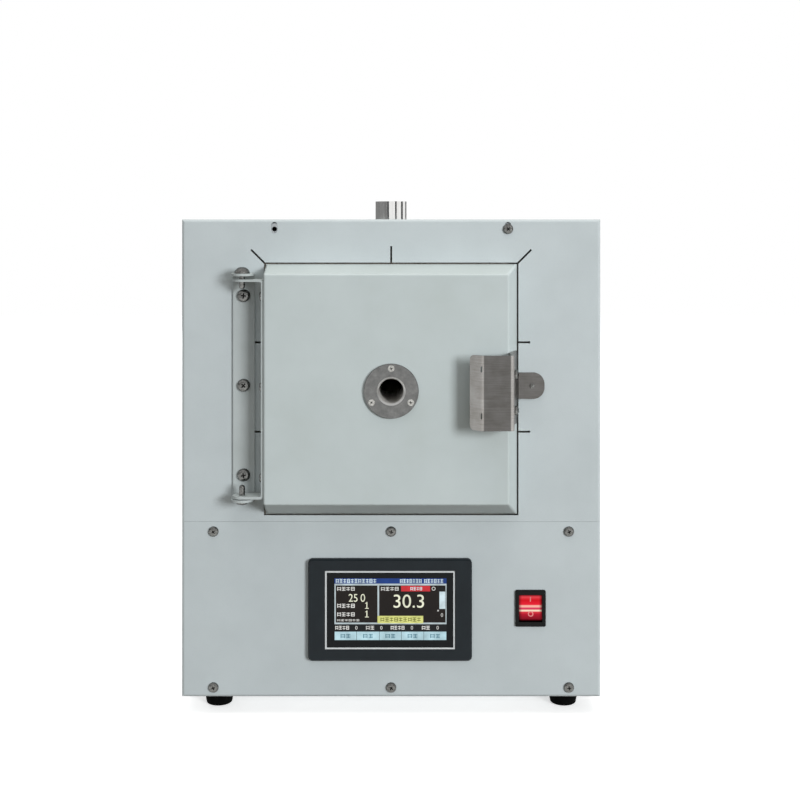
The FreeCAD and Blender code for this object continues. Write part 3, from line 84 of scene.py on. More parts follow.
def selectPart(piece, kind, test):
    # in edit mode: selects the faces or edges whose middle passes the test
    mesh = bmesh.from_edit_mesh(piece.data)
    bpy.ops.mesh.select_all(action="DESELECT")
    for part in mesh.faces if kind == "FACE" else mesh.edges:
        middle = sum((corner.co for corner in part.verts), Vector()) / len(part.verts)
        if test(middle, part):
            part.select = True
    mesh.select_flush_mode()
    bmesh.update_edit_mesh(piece.data)


def smoothBy(piece, degrees):
    activate(piece)
    bpy.ops.object.shade_smooth_by_angle(angle=math.radians(degrees))


def joinAll(name, pieces):
    clearSelection()
    for piece in pieces:
        piece.select_set(True)
    bpy.context.view_layer.objects.active = pieces[0]
    if len(pieces) > 1:
        bpy.ops.object.join()
    joined = bpy.context.view_layer.objects.active
    joined.name = name
    joined.data.name = name
    return joined


def giveMaterial(piece, material):
    piece.data.materials.clear()
    piece.data.materials.append(material)


def dress(material, *nodeNames):
    for nodeName in nodeNames:
        node = cadNodes[nodeName]
        if not node.material_slots:
            node.data.materials.append(material)
        for slot in node.material_slots:
            slot.material = material


# materials

def linear(hexText):
    channels = [int(hexText[i:i + 2], 16) / 255 for i in (1, 3, 5)]
    return tuple(c / 12.92 if c <= 0.04045 else ((c + 0.055) / 1.055) ** 2.4
                 for c in channels) + (1.0,)


def addNode(tree, kind, inputs=None, **settings):
    # inputs hold plain values or other nodes' outputs
    made = tree.nodes.new(kind)
    for name, value in settings.items():
        setattr(made, name, value)
    for name, value in (inputs or {}).items():
        if isinstance(value, bpy.types.NodeSocket):
            tree.links.new(value, made.inputs[name])
        else:
            made.inputs[name].default_value = value
    return made


def startMaterial(name, **sockets):
    material = bpy.data.materials.new(name)
    material.use_nodes = True
    tree = material.node_tree
    shader = tree.nodes["Principled BSDF"]
    for socket, value in sockets.items():
        shader.inputs[socket.replace("_", " ")].default_value = value
    coords = addNode(tree, "ShaderNodeTexCoord").outputs["Object"]
    return material, tree, shader, coords


def scaledCoords(tree, coords, scale, location=(0, 0, 0), rotation=(0, 0, 0)):
    mapped = addNode(tree, "ShaderNodeMapping", {"Vector": coords, "Scale": scale,
                     "Location": location, "Rotation": rotation})
    return mapped.outputs["Vector"]


def noiseOf(tree, vector, scale, detail=2.0, roughness=0.5):
    return addNode(tree, "ShaderNodeTexNoise", {"Vector": vector, "Scale": scale,
                   "Detail": detail, "Roughness": roughness}).outputs["Fac"]


def rampOf(tree, factor, stops):
    ramp = addNode(tree, "ShaderNodeValToRGB", {"Fac": factor})
    elements = ramp.color_ramp.elements
    while len(elements) < len(stops):
        elements.new(0.5)
    for element, (place, colour) in zip(elements, stops):
        element.position = place
        element.color = linear(colour) if isinstance(colour, str) else (colour,) * 3 + (1.0,)
    return ramp.outputs["Color"]


def multiplied(tree, share, first, second):
    # two colours multiplied; the second one counts by the share
    mixed = addNode(tree, "ShaderNodeMix", data_type="RGBA", blend_type="MULTIPLY")
    mixed.inputs[0].default_value = share
    tree.links.new(first, mixed.inputs[6])
    tree.links.new(second, mixed.inputs[7])
    return mixed.outputs[2]


def mathOf(tree, operation, first, second=0.5):
    # a sum on one or two values, each a number or another node's output
    return addNode(tree, "ShaderNodeMath", {0: first, 1: second}, operation=operation).outputs[0]


def rangeOf(tree, value, lowest, highest, first=0.0, last=1.0):
    # the value's place between two limits, as a share that runs from first to last
    return addNode(tree, "ShaderNodeMapRange", {"Value": value, "From Min": lowest,
                   "From Max": highest, "To Min": first, "To Max": last}).outputs["Result"]


def bumpInto(tree, shader, height, strength, distance):
    bump = addNode(tree, "ShaderNodeBump", {"Height": height, "Strength": strength,
                   "Distance": distance})
    tree.links.new(bump.outputs["Normal"], shader.inputs["Normal"])


def powderCoat(name, base, light, dark):
    # polyester powder coat, sprayed and baked: satin, with a fine orange peel of about 0.8 mm
    material, tree, shader, coords = startMaterial(name, Roughness=0.42, IOR=1.5)
    cloud = noiseOf(tree, coords, 1 / (60 * mm), 3.0, 0.6)
    tone = rampOf(tree, cloud, ((0.3, dark), (0.5, base), (0.72, light)))
    peel = noiseOf(tree, coords, 1 / (0.8 * mm), 1.0, 0.4)
    speck = rampOf(tree, noiseOf(tree, coords, 1 / (1.1 * mm), 2.0, 0.6),
                   ((0.28, 0.90), (0.45, 1.0), (1.0, 1.0)))
    tree.links.new(multiplied(tree, 0.35, tone, speck), shader.inputs["Base Color"])
    rough = rampOf(tree, cloud, ((0.2, 0.38), (0.8, 0.47)))
    tree.links.new(rough, shader.inputs["Roughness"])
    bumpInto(tree, shader, peel, 0.25, 0.05 * mm)
    return material


def grainedMetal(name, base, dark, light, grain, roughness, highlightMask=None):
    # rolled, brushed or extruded metal: fine streaks, so many a metre along each axis
    material, tree, shader, coords = startMaterial(name, Metallic=1.0, Roughness=roughness)
    fine = noiseOf(tree, scaledCoords(tree, coords, grain), 1.0, 4.0, 0.65)
    cloud = noiseOf(tree, coords, 1 / (14 * mm), 3.0, 0.6)
    half = mathOf(tree, "MULTIPLY", mathOf(tree, "ADD", fine, cloud), 0.5)
    tone = rampOf(tree, half, ((0.35, dark), (0.5, base), (0.66, light)))
    # an optional mask multiplies the tone, painting highlights into it
    if highlightMask:
        tone = multiplied(tree, 1.0, tone, highlightMask(tree, coords))
    tree.links.new(tone, shader.inputs["Base Color"])
    tree.links.new(rampOf(tree, half, ((0.3, roughness - 0.07), (0.7, roughness + 0.1))),
                   shader.inputs["Roughness"])
    bumpInto(tree, shader, fine, 0.12, 0.04 * mm)
    return material


# bounds of the painted highlights on the handle
handleHighlightBands = {"lipEnd": 10.4, "plateEnd": 32.4, "sideEnd": 40.2,    # mm from the left edge
              "plateTone": 0.36, "tabTone": 0.40, "lipBlend": 0.012, "blend": 0.01}


def handlePaintedHighlights(tree, coords):
    # how bright the sheet is from left to right: painted highlights on the grip's lip
    # and on the fold at the door's side, darker on the plate between them and on the latch tab
    low, high = boxOf("door_handle")[:2]
    along = addNode(tree, "ShaderNodeSeparateXYZ", {"Vector": coords}).outputs["X"]
    share = rangeOf(tree, along, low.x, high.x)
    lip, plate, side = (handleHighlightBands[end] * mm / (high.x - low.x)
                        for end in ("lipEnd", "plateEnd", "sideEnd"))
    dull, blend = handleHighlightBands["plateTone"], handleHighlightBands["blend"]
    return rampOf(tree, share, ((0.0, 1.0), (lip, 1.0), (lip + handleHighlightBands["lipBlend"], dull),
                                (plate, dull), (plate + blend, 1.0), (side, 1.0),
                                (side + blend, handleHighlightBands["tabTone"])))


def polishedSteel():
    # drawn stainless tube, buffed to a mirror with faint draw lines along its length
    material, tree, shader, coords = startMaterial("polishedStainlessTube", Metallic=1.0,
                                                   Roughness=0.09)
    lines = noiseOf(tree, scaledCoords(tree, coords, (900, 900, 20)), 1.0, 3.0, 0.6)
    tree.links.new(rampOf(tree, lines, ((0.3, "#DCDCDA"), (0.7, "#F6F6F4"))),
                   shader.inputs["Base Color"])
    tree.links.new(rampOf(tree, lines, ((0.3, 0.06), (0.7, 0.14))), shader.inputs["Roughness"])
    return material


def oxidisedLining():
    # the observation tube's stainless, dulled by heat to a matt light grey scale
    material, tree, shader, coords = startMaterial("heatDulledStainless", Metallic=0.15,
                                                   Roughness=0.75)
    scale = noiseOf(tree, coords, 1 / (4 * mm), 4.0, 0.65)
    tree.links.new(rampOf(tree, scale, ((0.3, "#A7A49F"), (0.7, "#C6C4C0"))),
                   shader.inputs["Base Color"])
    bumpInto(tree, shader, scale, 0.2, 0.05 * mm)
    return material


portFace = {"ringSpacing": 0.5, "rimStart": 11.6, "rimEnd": 12.1}    # mm; the rim's are radii
waveRate = 20.0    # radians that a wave texture turns in one unit


def turnedAluminium():
    # lathe-faced aluminium: fine rings round the port, and a painted highlight as a bright ring at
    # the bore's rim
    material, tree, shader, coords = startMaterial("turnedAluminium", Metallic=1.0,
                                                   Roughness=0.34)
    middle = boxOf("port_ring")[2]
    centred = scaledCoords(tree, coords, (1, 1, 1), location=-middle)
    rings = addNode(tree, "ShaderNodeTexWave", {"Vector": centred, "Distortion": 0.4,
                    "Scale": 2 * math.pi / (waveRate * portFace["ringSpacing"] * mm),
                    "Detail": 2.0},
                    wave_type="RINGS", rings_direction="Y").outputs["Fac"]
    cloud = noiseOf(tree, coords, 1 / (6 * mm), 4.0, 0.65)
    tone = rampOf(tree, cloud, ((0.3, "#5D5D5C"), (0.55, "#6E6E6D"), (0.75, "#7F7F7E")))
    flat = scaledCoords(tree, centred, (1, 0, 1))
    reach = addNode(tree, "ShaderNodeVectorMath", {0: flat}, operation="LENGTH").outputs["Value"]
    edge = rangeOf(tree, reach, portFace["rimStart"] * mm, portFace["rimEnd"] * mm)
    # painted highlight: a pale ring at the bore's rim, between rimStart and rimEnd
    rimHighlight = addNode(tree, "ShaderNodeMix", {0: edge}, data_type="RGBA")
    rimHighlight.inputs[6].default_value = linear("#C4C4C2")
    tree.links.new(tone, rimHighlight.inputs[7])
    tree.links.new(rimHighlight.outputs[2], shader.inputs["Base Color"])
    tree.links.new(rampOf(tree, cloud, ((0.3, 0.30), (0.7, 0.44))), shader.inputs["Roughness"])
    bumpInto(tree, shader, rings, 0.3, 0.03 * mm)
    return material


def screwSteel(name, dull, bright):
    # cold-headed screws with nickel plate, a little handled
    material, tree, shader, coords = startMaterial(name, Metallic=1.0, Roughness=0.24)
    spots = noiseOf(tree, coords, 1 / (1.5 * mm), 3.0, 0.7)
    tree.links.new(rampOf(tree, spots, ((0.3, dull), (0.6, bright))),
                   shader.inputs["Base Color"])
    tree.links.new(rampOf(tree, spots, ((0.3, 0.34), (0.7, 0.20))), shader.inputs["Roughness"])
    return material


def zincPlate():
    # bright zinc plate on folded sheet: faint crystal patches a few millimetres wide
    material, tree, shader, coords = startMaterial("zincPlatedSheet", Metallic=1.0, Roughness=0.4)
    patches = addNode(tree, "ShaderNodeTexVoronoi", {"Vector": coords, "Scale": 1 / (7 * mm)})
    tone = rampOf(tree, patches.outputs["Color"], ((0.1, "#8F9497"), (0.9, "#B3B8BA")))
    tree.links.new(tone, shader.inputs["Base Color"])
    tree.links.new(rampOf(tree, patches.outputs["Color"], ((0.1, 0.46), (0.9, 0.34))),
                   shader.inputs["Roughness"])
    return material


def mouldedPlastic(name, base, light, roughness, grain, sheen=0.5):
    # plastic from an eroded mould: an even, low sheen, with a fine pebble
    material, tree, shader, coords = startMaterial(name, Roughness=roughness, IOR=1.53,
                                                   Specular_IOR_Level=sheen)
    pebble = noiseOf(tree, coords, 1 / (grain * mm), 2.0, 0.5)
    cloud = noiseOf(tree, coords, 1 / (18 * mm), 2.0, 0.5)
    tree.links.new(rampOf(tree, cloud, ((0.3, base), (0.8, light))), shader.inputs["Base Color"])
    tree.links.new(rampOf(tree, pebble, ((0.3, roughness - 0.05), (0.7, roughness + 0.07))),
                   shader.inputs["Roughness"])
    bumpInto(tree, shader, pebble, 0.25, 0.05 * mm)
    return material


def rubber():
    # moulded nitrile rubber: dull black, greyed a little by dust
    material, tree, shader, coords = startMaterial("nitrileRubber", Roughness=0.95, IOR=1.52,
                                                   Specular_IOR_Level=0.08)
    dust = noiseOf(tree, coords, 1 / (3 * mm), 4.0, 0.7)
    tree.links.new(rampOf(tree, dust, ((0.35, "#050505"), (0.8, "#101010"))),
                   shader.inputs["Base Color"])
    bumpInto(tree, shader, dust, 0.3, 0.08 * mm)
    return material


def fibreBoard():
    # vacuum-formed ceramic fibre board: chalky, off-white, with pits and short fibres
    material, tree, shader, coords = startMaterial("ceramicFibreBoard", Roughness=0.95, IOR=1.45)
    fibres = noiseOf(tree, coords, 1 / (1.3 * mm), 6.0, 0.75)
    cloud = noiseOf(tree, coords, 1 / (25 * mm), 3.0, 0.6)
    both = mathOf(tree, "MULTIPLY", fibres, cloud)
    tree.links.new(rampOf(tree, both, ((0.08, "#BDB4A2"), (0.22, "#DDD6C8"), (0.4, "#ECE7DC"))),
                   shader.inputs["Base Color"])
    bumpInto(tree, shader, fibres, 0.6, 0.25 * mm)
    return material


def alumina():
    # pressed and fired alumina: matt, warm white, fine grained, a few iron specks
    material, tree, shader, coords = startMaterial("firedAlumina", Roughness=0.8, IOR=1.7)
    grain = noiseOf(tree, coords, 1 / (0.7 * mm), 3.0, 0.6)
    specks = rampOf(tree, noiseOf(tree, coords, 1 / (2.2 * mm), 1.0, 0.5),
                    ((0.2, "#9A8264"), (0.27, "#DAD0BE"), (0.6, "#E4DCCC")))
    tree.links.new(specks, shader.inputs["Base Color"])
    bumpInto(tree, shader, grain, 0.4, 0.08 * mm)
    return material


def heaterAlloy():
    # resistance alloy rod after use: dark brown-grey oxide scale
    material, tree, shader, coords = startMaterial("oxidisedHeaterAlloy", Metallic=0.7,
                                                   Roughness=0.6)
    scale = noiseOf(tree, coords, 1 / (2 * mm), 4.0, 0.7)
    tree.links.new(rampOf(tree, scale, ((0.3, "#332B27"), (0.6, "#55493F"), (0.8, "#6B6058"))),
                   shader.inputs["Base Color"])
    bumpInto(tree, shader, scale, 0.4, 0.06 * mm)
    return material


def displayGlass():
    # hard-coated polyester over the display: black when unlit, glossy
    material, tree, shader, coords = startMaterial("coatedDisplayFoil", Roughness=0.16, IOR=1.5,
                                                   Specular_IOR_Level=0.12)
    smear = noiseOf(tree, coords, 1 / (20 * mm), 3.0, 0.6)
    tree.links.new(rampOf(tree, smear, ((0.3, "#0A0D0F"), (0.8, "#101417"))),
                   shader.inputs["Base Color"])
    tree.links.new(rampOf(tree, smear, ((0.3, 0.14), (0.7, 0.22))), shader.inputs["Roughness"])
    return material


def dimmed(colour, share):
    return "#" + "".join("%02X" % round(int(colour[i:i + 2], 16) * share) for i in (1, 3, 5))


def litPixels(name, colour, strength):
    # one colour of the lit display; the backlight varies a little over the panel
    material, tree, shader, coords = startMaterial(name, Roughness=0.3)
    shader.inputs["Emission Strength"].default_value = strength
    glow = noiseOf(tree, coords, 1 / (9 * mm), 2.0, 0.5)
    tree.links.new(rampOf(tree, glow, ((0.2, dimmed(colour, 0.8)), (0.7, colour))),
                   shader.inputs["Emission Color"])
    shader.inputs["Base Color"].default_value = linear("#050505")
    shader.inputs["Specular IOR Level"].default_value = 0.12
    return material


rockerGlow = {"halfHeight": 11.0, "brightHalfWidth": 7.2, "darkHalfWidth": 10.2}    # mm


def litRocker():
    # translucent red polycarbonate with a lamp inside: its glow, with painted highlights as pale
    # bands across, dark at the edges
    material, tree, shader, coords = startMaterial("litRedPolycarbonate", Roughness=0.22, IOR=1.58)
    centred = scaledCoords(tree, coords, (1, 1, 1), location=-boxOf("switch_rocker")[2])
    axes = addNode(tree, "ShaderNodeSeparateXYZ", {"Vector": centred})
    height = rangeOf(tree, axes.outputs["Z"], -rockerGlow["halfHeight"] * mm,
                     rockerGlow["halfHeight"] * mm)
    # the pale stops of the ramp are painted highlights on the glowing red
    bands = rampOf(tree, height, ((0.0, "#1C0104"), (0.10, "#6A0818"), (0.28, "#B4142C"),
                                  (0.365, "#E8404A"), (0.385, "#FFF2D6"), (0.42, "#FFE9C8"),
                                  (0.45, "#D83A5A"), (0.50, "#E0486A"), (0.53, "#FFB4A4"),
                                  (0.575, "#FFC8B6"), (0.62, "#EE2036"), (0.80, "#D40418"),
                                  (0.93, "#E8444E"), (1.0, "#5A020A")))
    edge = rangeOf(tree, mathOf(tree, "ABSOLUTE", axes.outputs["X"]),
                   rockerGlow["brightHalfWidth"] * mm, rockerGlow["darkHalfWidth"] * mm, 1.0, 0.05)
    tree.links.new(multiplied(tree, 1.0, bands, edge), shader.inputs["Emission Color"])
    shader.inputs["Emission Strength"].default_value = 0.9
    shader.inputs["Base Color"].default_value = linear("#3A0408")
    shader.inputs["Specular IOR Level"].default_value = 0.06
    return material


def fibreRope():
    # ceramic fibre rope: a coarse lay slanting round it, under a fine fuzz
    material, tree, shader, coords = startMaterial("ceramicFibreRope", Roughness=0.92, IOR=1.4)
    uv = addNode(tree, "ShaderNodeTexCoord").outputs["UV"]
    yarns = addNode(tree, "ShaderNodeTexWave", {"Vector": uv, "Scale": 3.0, "Distortion": 1.2,
                    "Detail": 2.0, "Detail Scale": 3.0}, bands_direction="DIAGONAL")
    fuzz = noiseOf(tree, coords, 1 / (0.6 * mm), 4.0, 0.7)
    both = mathOf(tree, "ADD", yarns.outputs["Fac"], fuzz)
    tree.links.new(rampOf(tree, fuzz, ((0.3, "#C9C0AE"), (0.6, "#E4DED0"))),
                   shader.inputs["Base Color"])
    bumpInto(tree, shader, both, 0.6, 0.4 * mm)
    return material


panelPaint = powderCoat("lightGreyPowderCoat", "#BAC2C3", "#BEC6C7", "#B6BEBF")
doorPaint = powderCoat("doorGreyPowderCoat", "#BAC3C2", "#BEC7C6", "#B6BFBD")
hingePaint = powderCoat("hingeGreyPowderCoat", "#AEB5B4", "#B4BBBA", "#A6ADAB")
handleSteel = grainedMetal("brushedStainlessSheet", "#969390", "#86837F", "#A6A4A2",
                           (60, 60, 1600), 0.38, handlePaintedHighlights)
tubeLining = oxidisedLining()
jacketSteel = grainedMetal("rolledStainlessSheet", "#9A9B9A", "#868786", "#ACACAA",
                           (1200, 40, 40), 0.36)
tubeSteel = polishedSteel()
portAluminium = turnedAluminium()
sinkAluminium = grainedMetal("extrudedAluminium", "#A3A5A6", "#939596", "#B3B5B6",
                             (900, 30, 900), 0.35)
nickel = screwSteel("nickelPlatedScrews", "#4C4C4A", "#757573")
# a lighter copy of the screw nickel: painted highlight on the port's screw heads
highlightNickel = screwSteel("nickelLightenedForHighlight", "#82817D", "#B2B1AD")
# painted shade: a dark fill for the screws' cross recesses
recessShade = mouldedPlastic("paintedShadeInScrewCross", "#161514", "#2A2826", 0.7, 0.4, 0.2)
zinc = zincPlate()
bezelPlastic = mouldedPlastic("slateBlackAbs", "#11171B", "#171E22", 0.42, 0.7, 0.18)
switchPlastic = mouldedPlastic("blackNylon", "#060707", "#0A0B0B", 0.38, 0.9, 0.12)
housingPlastic = mouldedPlastic("blackPolycarbonateHousing", "#141517", "#1B1C1E", 0.5, 0.8)
blackRubber = rubber()
board = fibreBoard()
ceramic = alumina()
heaterRod = heaterAlloy()
glass = displayGlass()
print("materials made")

dress(panelPaint, "lower_front_panel", "upper_front_panel", "outer_cover", "rear_panel")
dress(doorPaint, "door_pan")
dress(hingePaint, "fixed_hinge_bracket", "door_hinge_bracket")
dress(zinc, "base_tray", "divider_shelf", "front_crossbar", "rear_crossbar", "display_clamps",
      "power_supply")
dress(jacketSteel, "inner_jacket", "door_liner")
dress(handleSteel, "door_handle")
dress(tubeLining, "observation_tube")
dress(tubeSteel, "vent_spigot")
dress(portAluminium, "port_ring")
dress(sinkAluminium, "heat_sink")
dress(nickel, "foot_screws", "pivot_washer", "latch_stud", "latch_magnet")
dress(blackRubber, "rubber_feet")
dress(board, "mouth_block", "insulation_top", "insulation_bottom", "insulation_left",
      "insulation_right", "insulation_rear", "door_insulation")
dress(ceramic, "muffle", "heater_terminals", "thermocouple", "vent_tube")
dress(heaterRod, "left_heater", "right_heater")
dress(bezelPlastic, "display_bezel")
dress(switchPlastic, "switch_frame", "mains_inlet")
dress(housingPlastic, "display_housing", "solid_state_relay")
dress(glass, "display_screen")
dress(litRocker(), "switch_rocker")


# screws with cross recesses

# lengths are millimetres and turns degrees; dome, tipRound, arm and floor are shares of the
# head's height and radius, of the shank and of the cross
plainScrew = {"dome": {"share": 0.85, "reach": 0.8, "profile": 0.5}, "countersunk": False,
              "tipRound": 0.0, "arm": 0.26, "floor": 0.45, "rollStep": 37, "finish": nickel}


def screwHead(settings):
    # drawn with its seat at the origin and its head along +Z
    radius = settings["head"] / 2 * mm
    height = settings["height"] * mm
    dome = settings["dome"]
    clearSelection()
    bpy.ops.mesh.primitive_cylinder_add(vertices=40, radius=radius, depth=height,
                                        location=(0, 0, height / 2))
    head = bpy.context.object
    applyPlace(head)
    bpy.ops.object.mode_set(mode="EDIT")
    if settings["countersunk"]:
        selectPart(head, "FACE", facesDown)
        shrink = settings["shank"] / settings["head"]
        bpy.ops.transform.resize(value=(shrink, shrink, 1))
    else:
        selectPart(head, "EDGE", lambda middle, edge: middle.z > height * 0.9)
        bpy.ops.mesh.bevel(offset=min(height * dome["share"], radius * dome["reach"]),
                           segments=6, profile=dome["profile"], affect="EDGES")
        selectPart(head, "FACE", facesDown)
        bpy.ops.mesh.inset(thickness=radius - settings["shank"] / 2 * mm)
    bpy.ops.mesh.extrude_region_move(TRANSFORM_OT_translate={
        "value": (0, 0, -settings["shankLength"] * mm)})
    if settings["tipRound"]:
        bpy.ops.mesh.bevel(offset=settings["shank"] * settings["tipRound"] * mm, segments=4,
                           affect="EDGES")
    bpy.ops.object.mode_set(mode="OBJECT")
    giveMaterial(head, settings["finish"])
    # the second slot holds the painted shade of the cross recess
    head.data.materials.append(recessShade)
    arm = (settings["cross"] * mm, settings["cross"] * settings["arm"] * mm,
           settings["recess"] * 2 * mm)
    for turn in (0, 90):
        clearSelection()
        bpy.ops.mesh.primitive_cube_add(size=1, location=(0, 0, height), scale=arm,
                                        rotation=(0, 0, math.radians(turn)))
        cutter = bpy.context.object
        applyPlace(cutter)
        # the cutter's faces carry the painted shade into the recess
        giveMaterial(cutter, recessShade)
        bpy.ops.object.mode_set(mode="EDIT")
        selectPart(cutter, "FACE", facesDown)
        bpy.ops.transform.resize(value=(settings["floor"], settings["floor"], 1))
        bpy.ops.object.mode_set(mode="OBJECT")
        applyModifier(head, "BOOLEAN", operation="DIFFERENCE", solver="EXACT",
                      material_mode="TRANSFER", object=cutter)
        bpy.data.objects.remove(cutter)
    smoothBy(head, 32)
    return head


def placeScrews(name, settings, places, body, *replaced):
    prototype = screwHead(settings)
    copies = []
    for index, (seat, outward) in enumerate(places):
        copy = prototype.copy()
        copy.data = prototype.data.copy()
        bpy.context.collection.objects.link(copy)
        turn = upward.rotation_difference(outward).to_matrix().to_4x4()
        angle = settings["firstTurn"] + settings["rollStep"] * index
        roll = Matrix.Rotation(math.radians(angle), 4, "Z")
        copy.data.transform(Matrix.Translation(seat) @ turn @ roll)
        copies.append(copy)
    bpy.data.objects.remove(prototype)
    screws = joinAll(name, copies)
    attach(screws, body)
    for node in replaced:
        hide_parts(node)
    return screws


solidReach = 20 * mm    # points nearer than this to a group's middle belong to its solid


def centresOf(nodeName, count):
    # middle, lowest and highest corner of each separate solid of a node
    groups = []
    for vertex in cadNodes[nodeName].data.vertices:
        near = [group for group in groups
                if (group["sum"] / len(group["points"]) - vertex.co).length < solidReach]
        if not near:
            near = [{"sum": Vector(), "points": []}]
            groups.append(near[0])
        near[0]["sum"] += vertex.co
        near[0]["points"].append(vertex.co.copy())
    found = []
    for group in groups:
        low = Vector(min(p[i] for p in group["points"]) for i in range(3))
        high = Vector(max(p[i] for p in group["points"]) for i in range(3))
        found.append(((low + high) / 2, low, high))
    if len(found) != count:
        print(nodeName, "has", len(found), "groups, not", count)
    return found


def seatsOn(nodeName, count, seatY, outward):
    return [(Vector((middle.x, seatY, middle.z)), outward)
            for middle, low, high in centresOf(nodeName, count)]


forward = Vector((0, -1, 0))
backward = Vector((0, 1, 0))
leftward = Vector((-1, 0, 0))
upward = Vector((0, 0, 1))

panHead = plainScrew | {"head": 8.7, "height": 2.4, "shank": 4.0, "shankLength": 9.0,
                        "cross": 4.6, "recess": 1.5, "firstTurn": 20}
placeScrews("lowerPanelScrews", panHead, seatsOn("lower_panel_screws", 6, frontY, forward),
            "cabinet", "lower_panel_screws")
placeScrews("upperPanelScrew", panHead | {"firstTurn": 45},
            seatsOn("upper_panel_screw", 1, frontY, forward), "cabinet", "upper_panel_screw")
rearY = boxOf("rear_panel")[1].y
placeScrews("rearPanelScrews", panHead | {"firstTurn": 70},
            seatsOn("rear_panel_screws", 8, rearY, backward), "cabinet", "rear_panel_screws")

hingeHead = plainScrew | {"head": 11.0, "height": 3.4, "shank": 5.0, "shankLength": 7.4,
                          "cross": 6.0, "recess": 2.0, "firstTurn": 10}
hingeFace = boxOf("hinge_screws")[0].y + hingeHead["height"] * mm
placeScrews("hingeStripScrews", hingeHead, seatsOn("hinge_screws", 3, hingeFace, forward),
            "cabinet", "hinge_screws")

webHead = plainScrew | {"head": 8.0, "height": 2.0, "shank": 4.0, "shankLength": 12.0,
                        "cross": 4.2, "recess": 1.2, "firstTurn": 15}
webSeats = [(Vector((low.x + webHead["height"] * mm, middle.y, middle.z)), leftward)
            for middle, low, high in centresOf("web_screws", 3)]
placeScrews("hingeWebScrews", webHead, webSeats, "door", "web_screws")

handleHead = plainScrew | {"head": 8.0, "height": 2.2, "shank": 4.0, "shankLength": 13.0,
                           "cross": 4.2, "recess": 1.3, "firstTurn": 30}
doorSide = {"lean": 9.0, "depth": 25.0}    # how far the side leans in over the door's depth
slope = math.atan2(doorSide["lean"], doorSide["depth"])
slopeOut = Vector((math.cos(slope), -math.sin(slope), 0))
shankRadius = handleHead["shank"] / 2 * mm
handleSeats = []
for middle, low, high in centresOf("handle_screws", 2):
    shankTip = Vector((low.x + shankRadius * math.sin(slope),
                       high.y - shankRadius * math.cos(slope), middle.z))
    handleSeats.append((shankTip + slopeOut * handleHead["shankLength"] * mm, slopeOut))
placeScrews("handleScrews", handleHead, handleSeats, "door", "handle_screws")

pivotMiddle = boxOf("pivot_screws")[2]
stripLow, stripHigh, stripMiddle = boxOf("fixed_hinge_bracket")
upperPivot = plainScrew | {"head": 13.0, "height": 5.2, "shank": 5.0, "cross": 7.0, "recess": 3.4,
                           "dome": {"share": 0.85, "reach": 0.86, "profile": 0.42},
                           "tipRound": 0.4, "firstTurn": 40}
lowerPivot = upperPivot | {"head": 11.0, "height": 3.0, "cross": 5.6, "recess": 1.5}
for middle, low, high in centresOf("pivot_screws", 2):
    if middle.z > stripMiddle.z:
        upperPivot["shankLength"] = (stripHigh.z - low.z) / mm
    else:
        lowerPivot["shankLength"] = (high.z - stripLow.z) / mm
upperPiece = placeScrews("upperPivotScrew", upperPivot,
                         [(Vector((pivotMiddle.x, pivotMiddle.y, stripHigh.z)), upward)],
                         "cabinet")
placeScrews("lowerPivotScrew", lowerPivot,
            [(Vector((pivotMiddle.x, pivotMiddle.y, stripLow.z)), -upward)], "cabinet")
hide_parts("pivot_screws")

portHead = plainScrew | {"head": 5.5, "height": 1.4, "shank": 3.0, "shankLength": 7.4,
                         "cross": 3.2, "recess": 0.9, "countersunk": True, "firstTurn": 25,
                         # the port screws take the lighter nickel, a painted highlight
                         "sunk": 1.5, "finish": highlightNickel}
portSeat = boxOf("port_ring")[0].y + portHead["sunk"] * mm
placeScrews("portScrews", portHead, seatsOn("port_screws", 3, portSeat, forward), "door",
            "port_screws")
inletHead = portHead | {"head": 5.6, "height": 1.7, "shankLength": 8.0, "firstTurn": 60,
                        "sunk": 1.8}
inletSeat = boxOf("inlet_screws")[1].y - inletHead["sunk"] * mm
placeScrews("inletScrews", inletHead, seatsOn("inlet_screws", 2, inletSeat, backward),
            "cabinet", "inlet_screws")
print("screws placed")


# the display's picture, as lit shapes on the foil

screenLow, screenMiddle = boxOf("display_screen")[::2]
pixelColours = {
    "header": ("#1F4088", 1.0), "pale": ("#DDF1F8", 1.0), "line": ("#CBDADF", 0.9),
    "pane": ("#1D1714", 1.0), "digits": ("#FBFDE2", 1.0), "label": ("#F0F0EC", 1.0),
    "alarm": ("#D8343C", 1.0), "hint": ("#E6E88C", 1.0), "hintText": ("#7C7E38", 1.0),
    "status": ("#191C1E", 1.0), "button": ("#BFE2EC", 1.0), "buttonText": ("#4C7F92", 1.0)}
pixels = {name: litPixels(name + "Pixels", colour, strength)
          for name, (colour, strength) in pixelColours.items()}
pixels["print"] = mouldedPlastic("greyScreenPrint", "#CDD1D1", "#D8DBDB", 0.5, 0.8)

# millimetres from the screen's middle; each layer lies a step in front of the one before
display = {"left": -47.0, "right": 47.8, "top": 26.9, "headerEdge": 22.4, "statusTop": -11.9,
           "statusBottom": -18.0, "buttonTop": -18.2, "bottom": -25.3, "paneTop": 20.9,
           "paneBottom": -10.5, "printHalfWidth": 55.0, "printHalfHeight": 33.1,
           "printWidth": 1.4, "layerStep": 0.03}


def layerY(layer):
    return screenLow.y - layer * display["layerStep"] * mm


def screenPatch(x0, x1, z0, z1, colour, layer=1):
    clearSelection()
    bpy.ops.mesh.primitive_plane_add(size=1, rotation=(math.radians(90), 0, 0),
                                     location=(screenMiddle.x + (x0 + x1) / 2 * mm,
                                               layerY(layer),
                                               screenMiddle.z + (z0 + z1) / 2 * mm))
    patch = bpy.context.object
    patch.scale = ((x1 - x0) * mm, (z1 - z0) * mm, 1)
    applyPlace(patch)
    giveMaterial(patch, pixels[colour])
    return patch


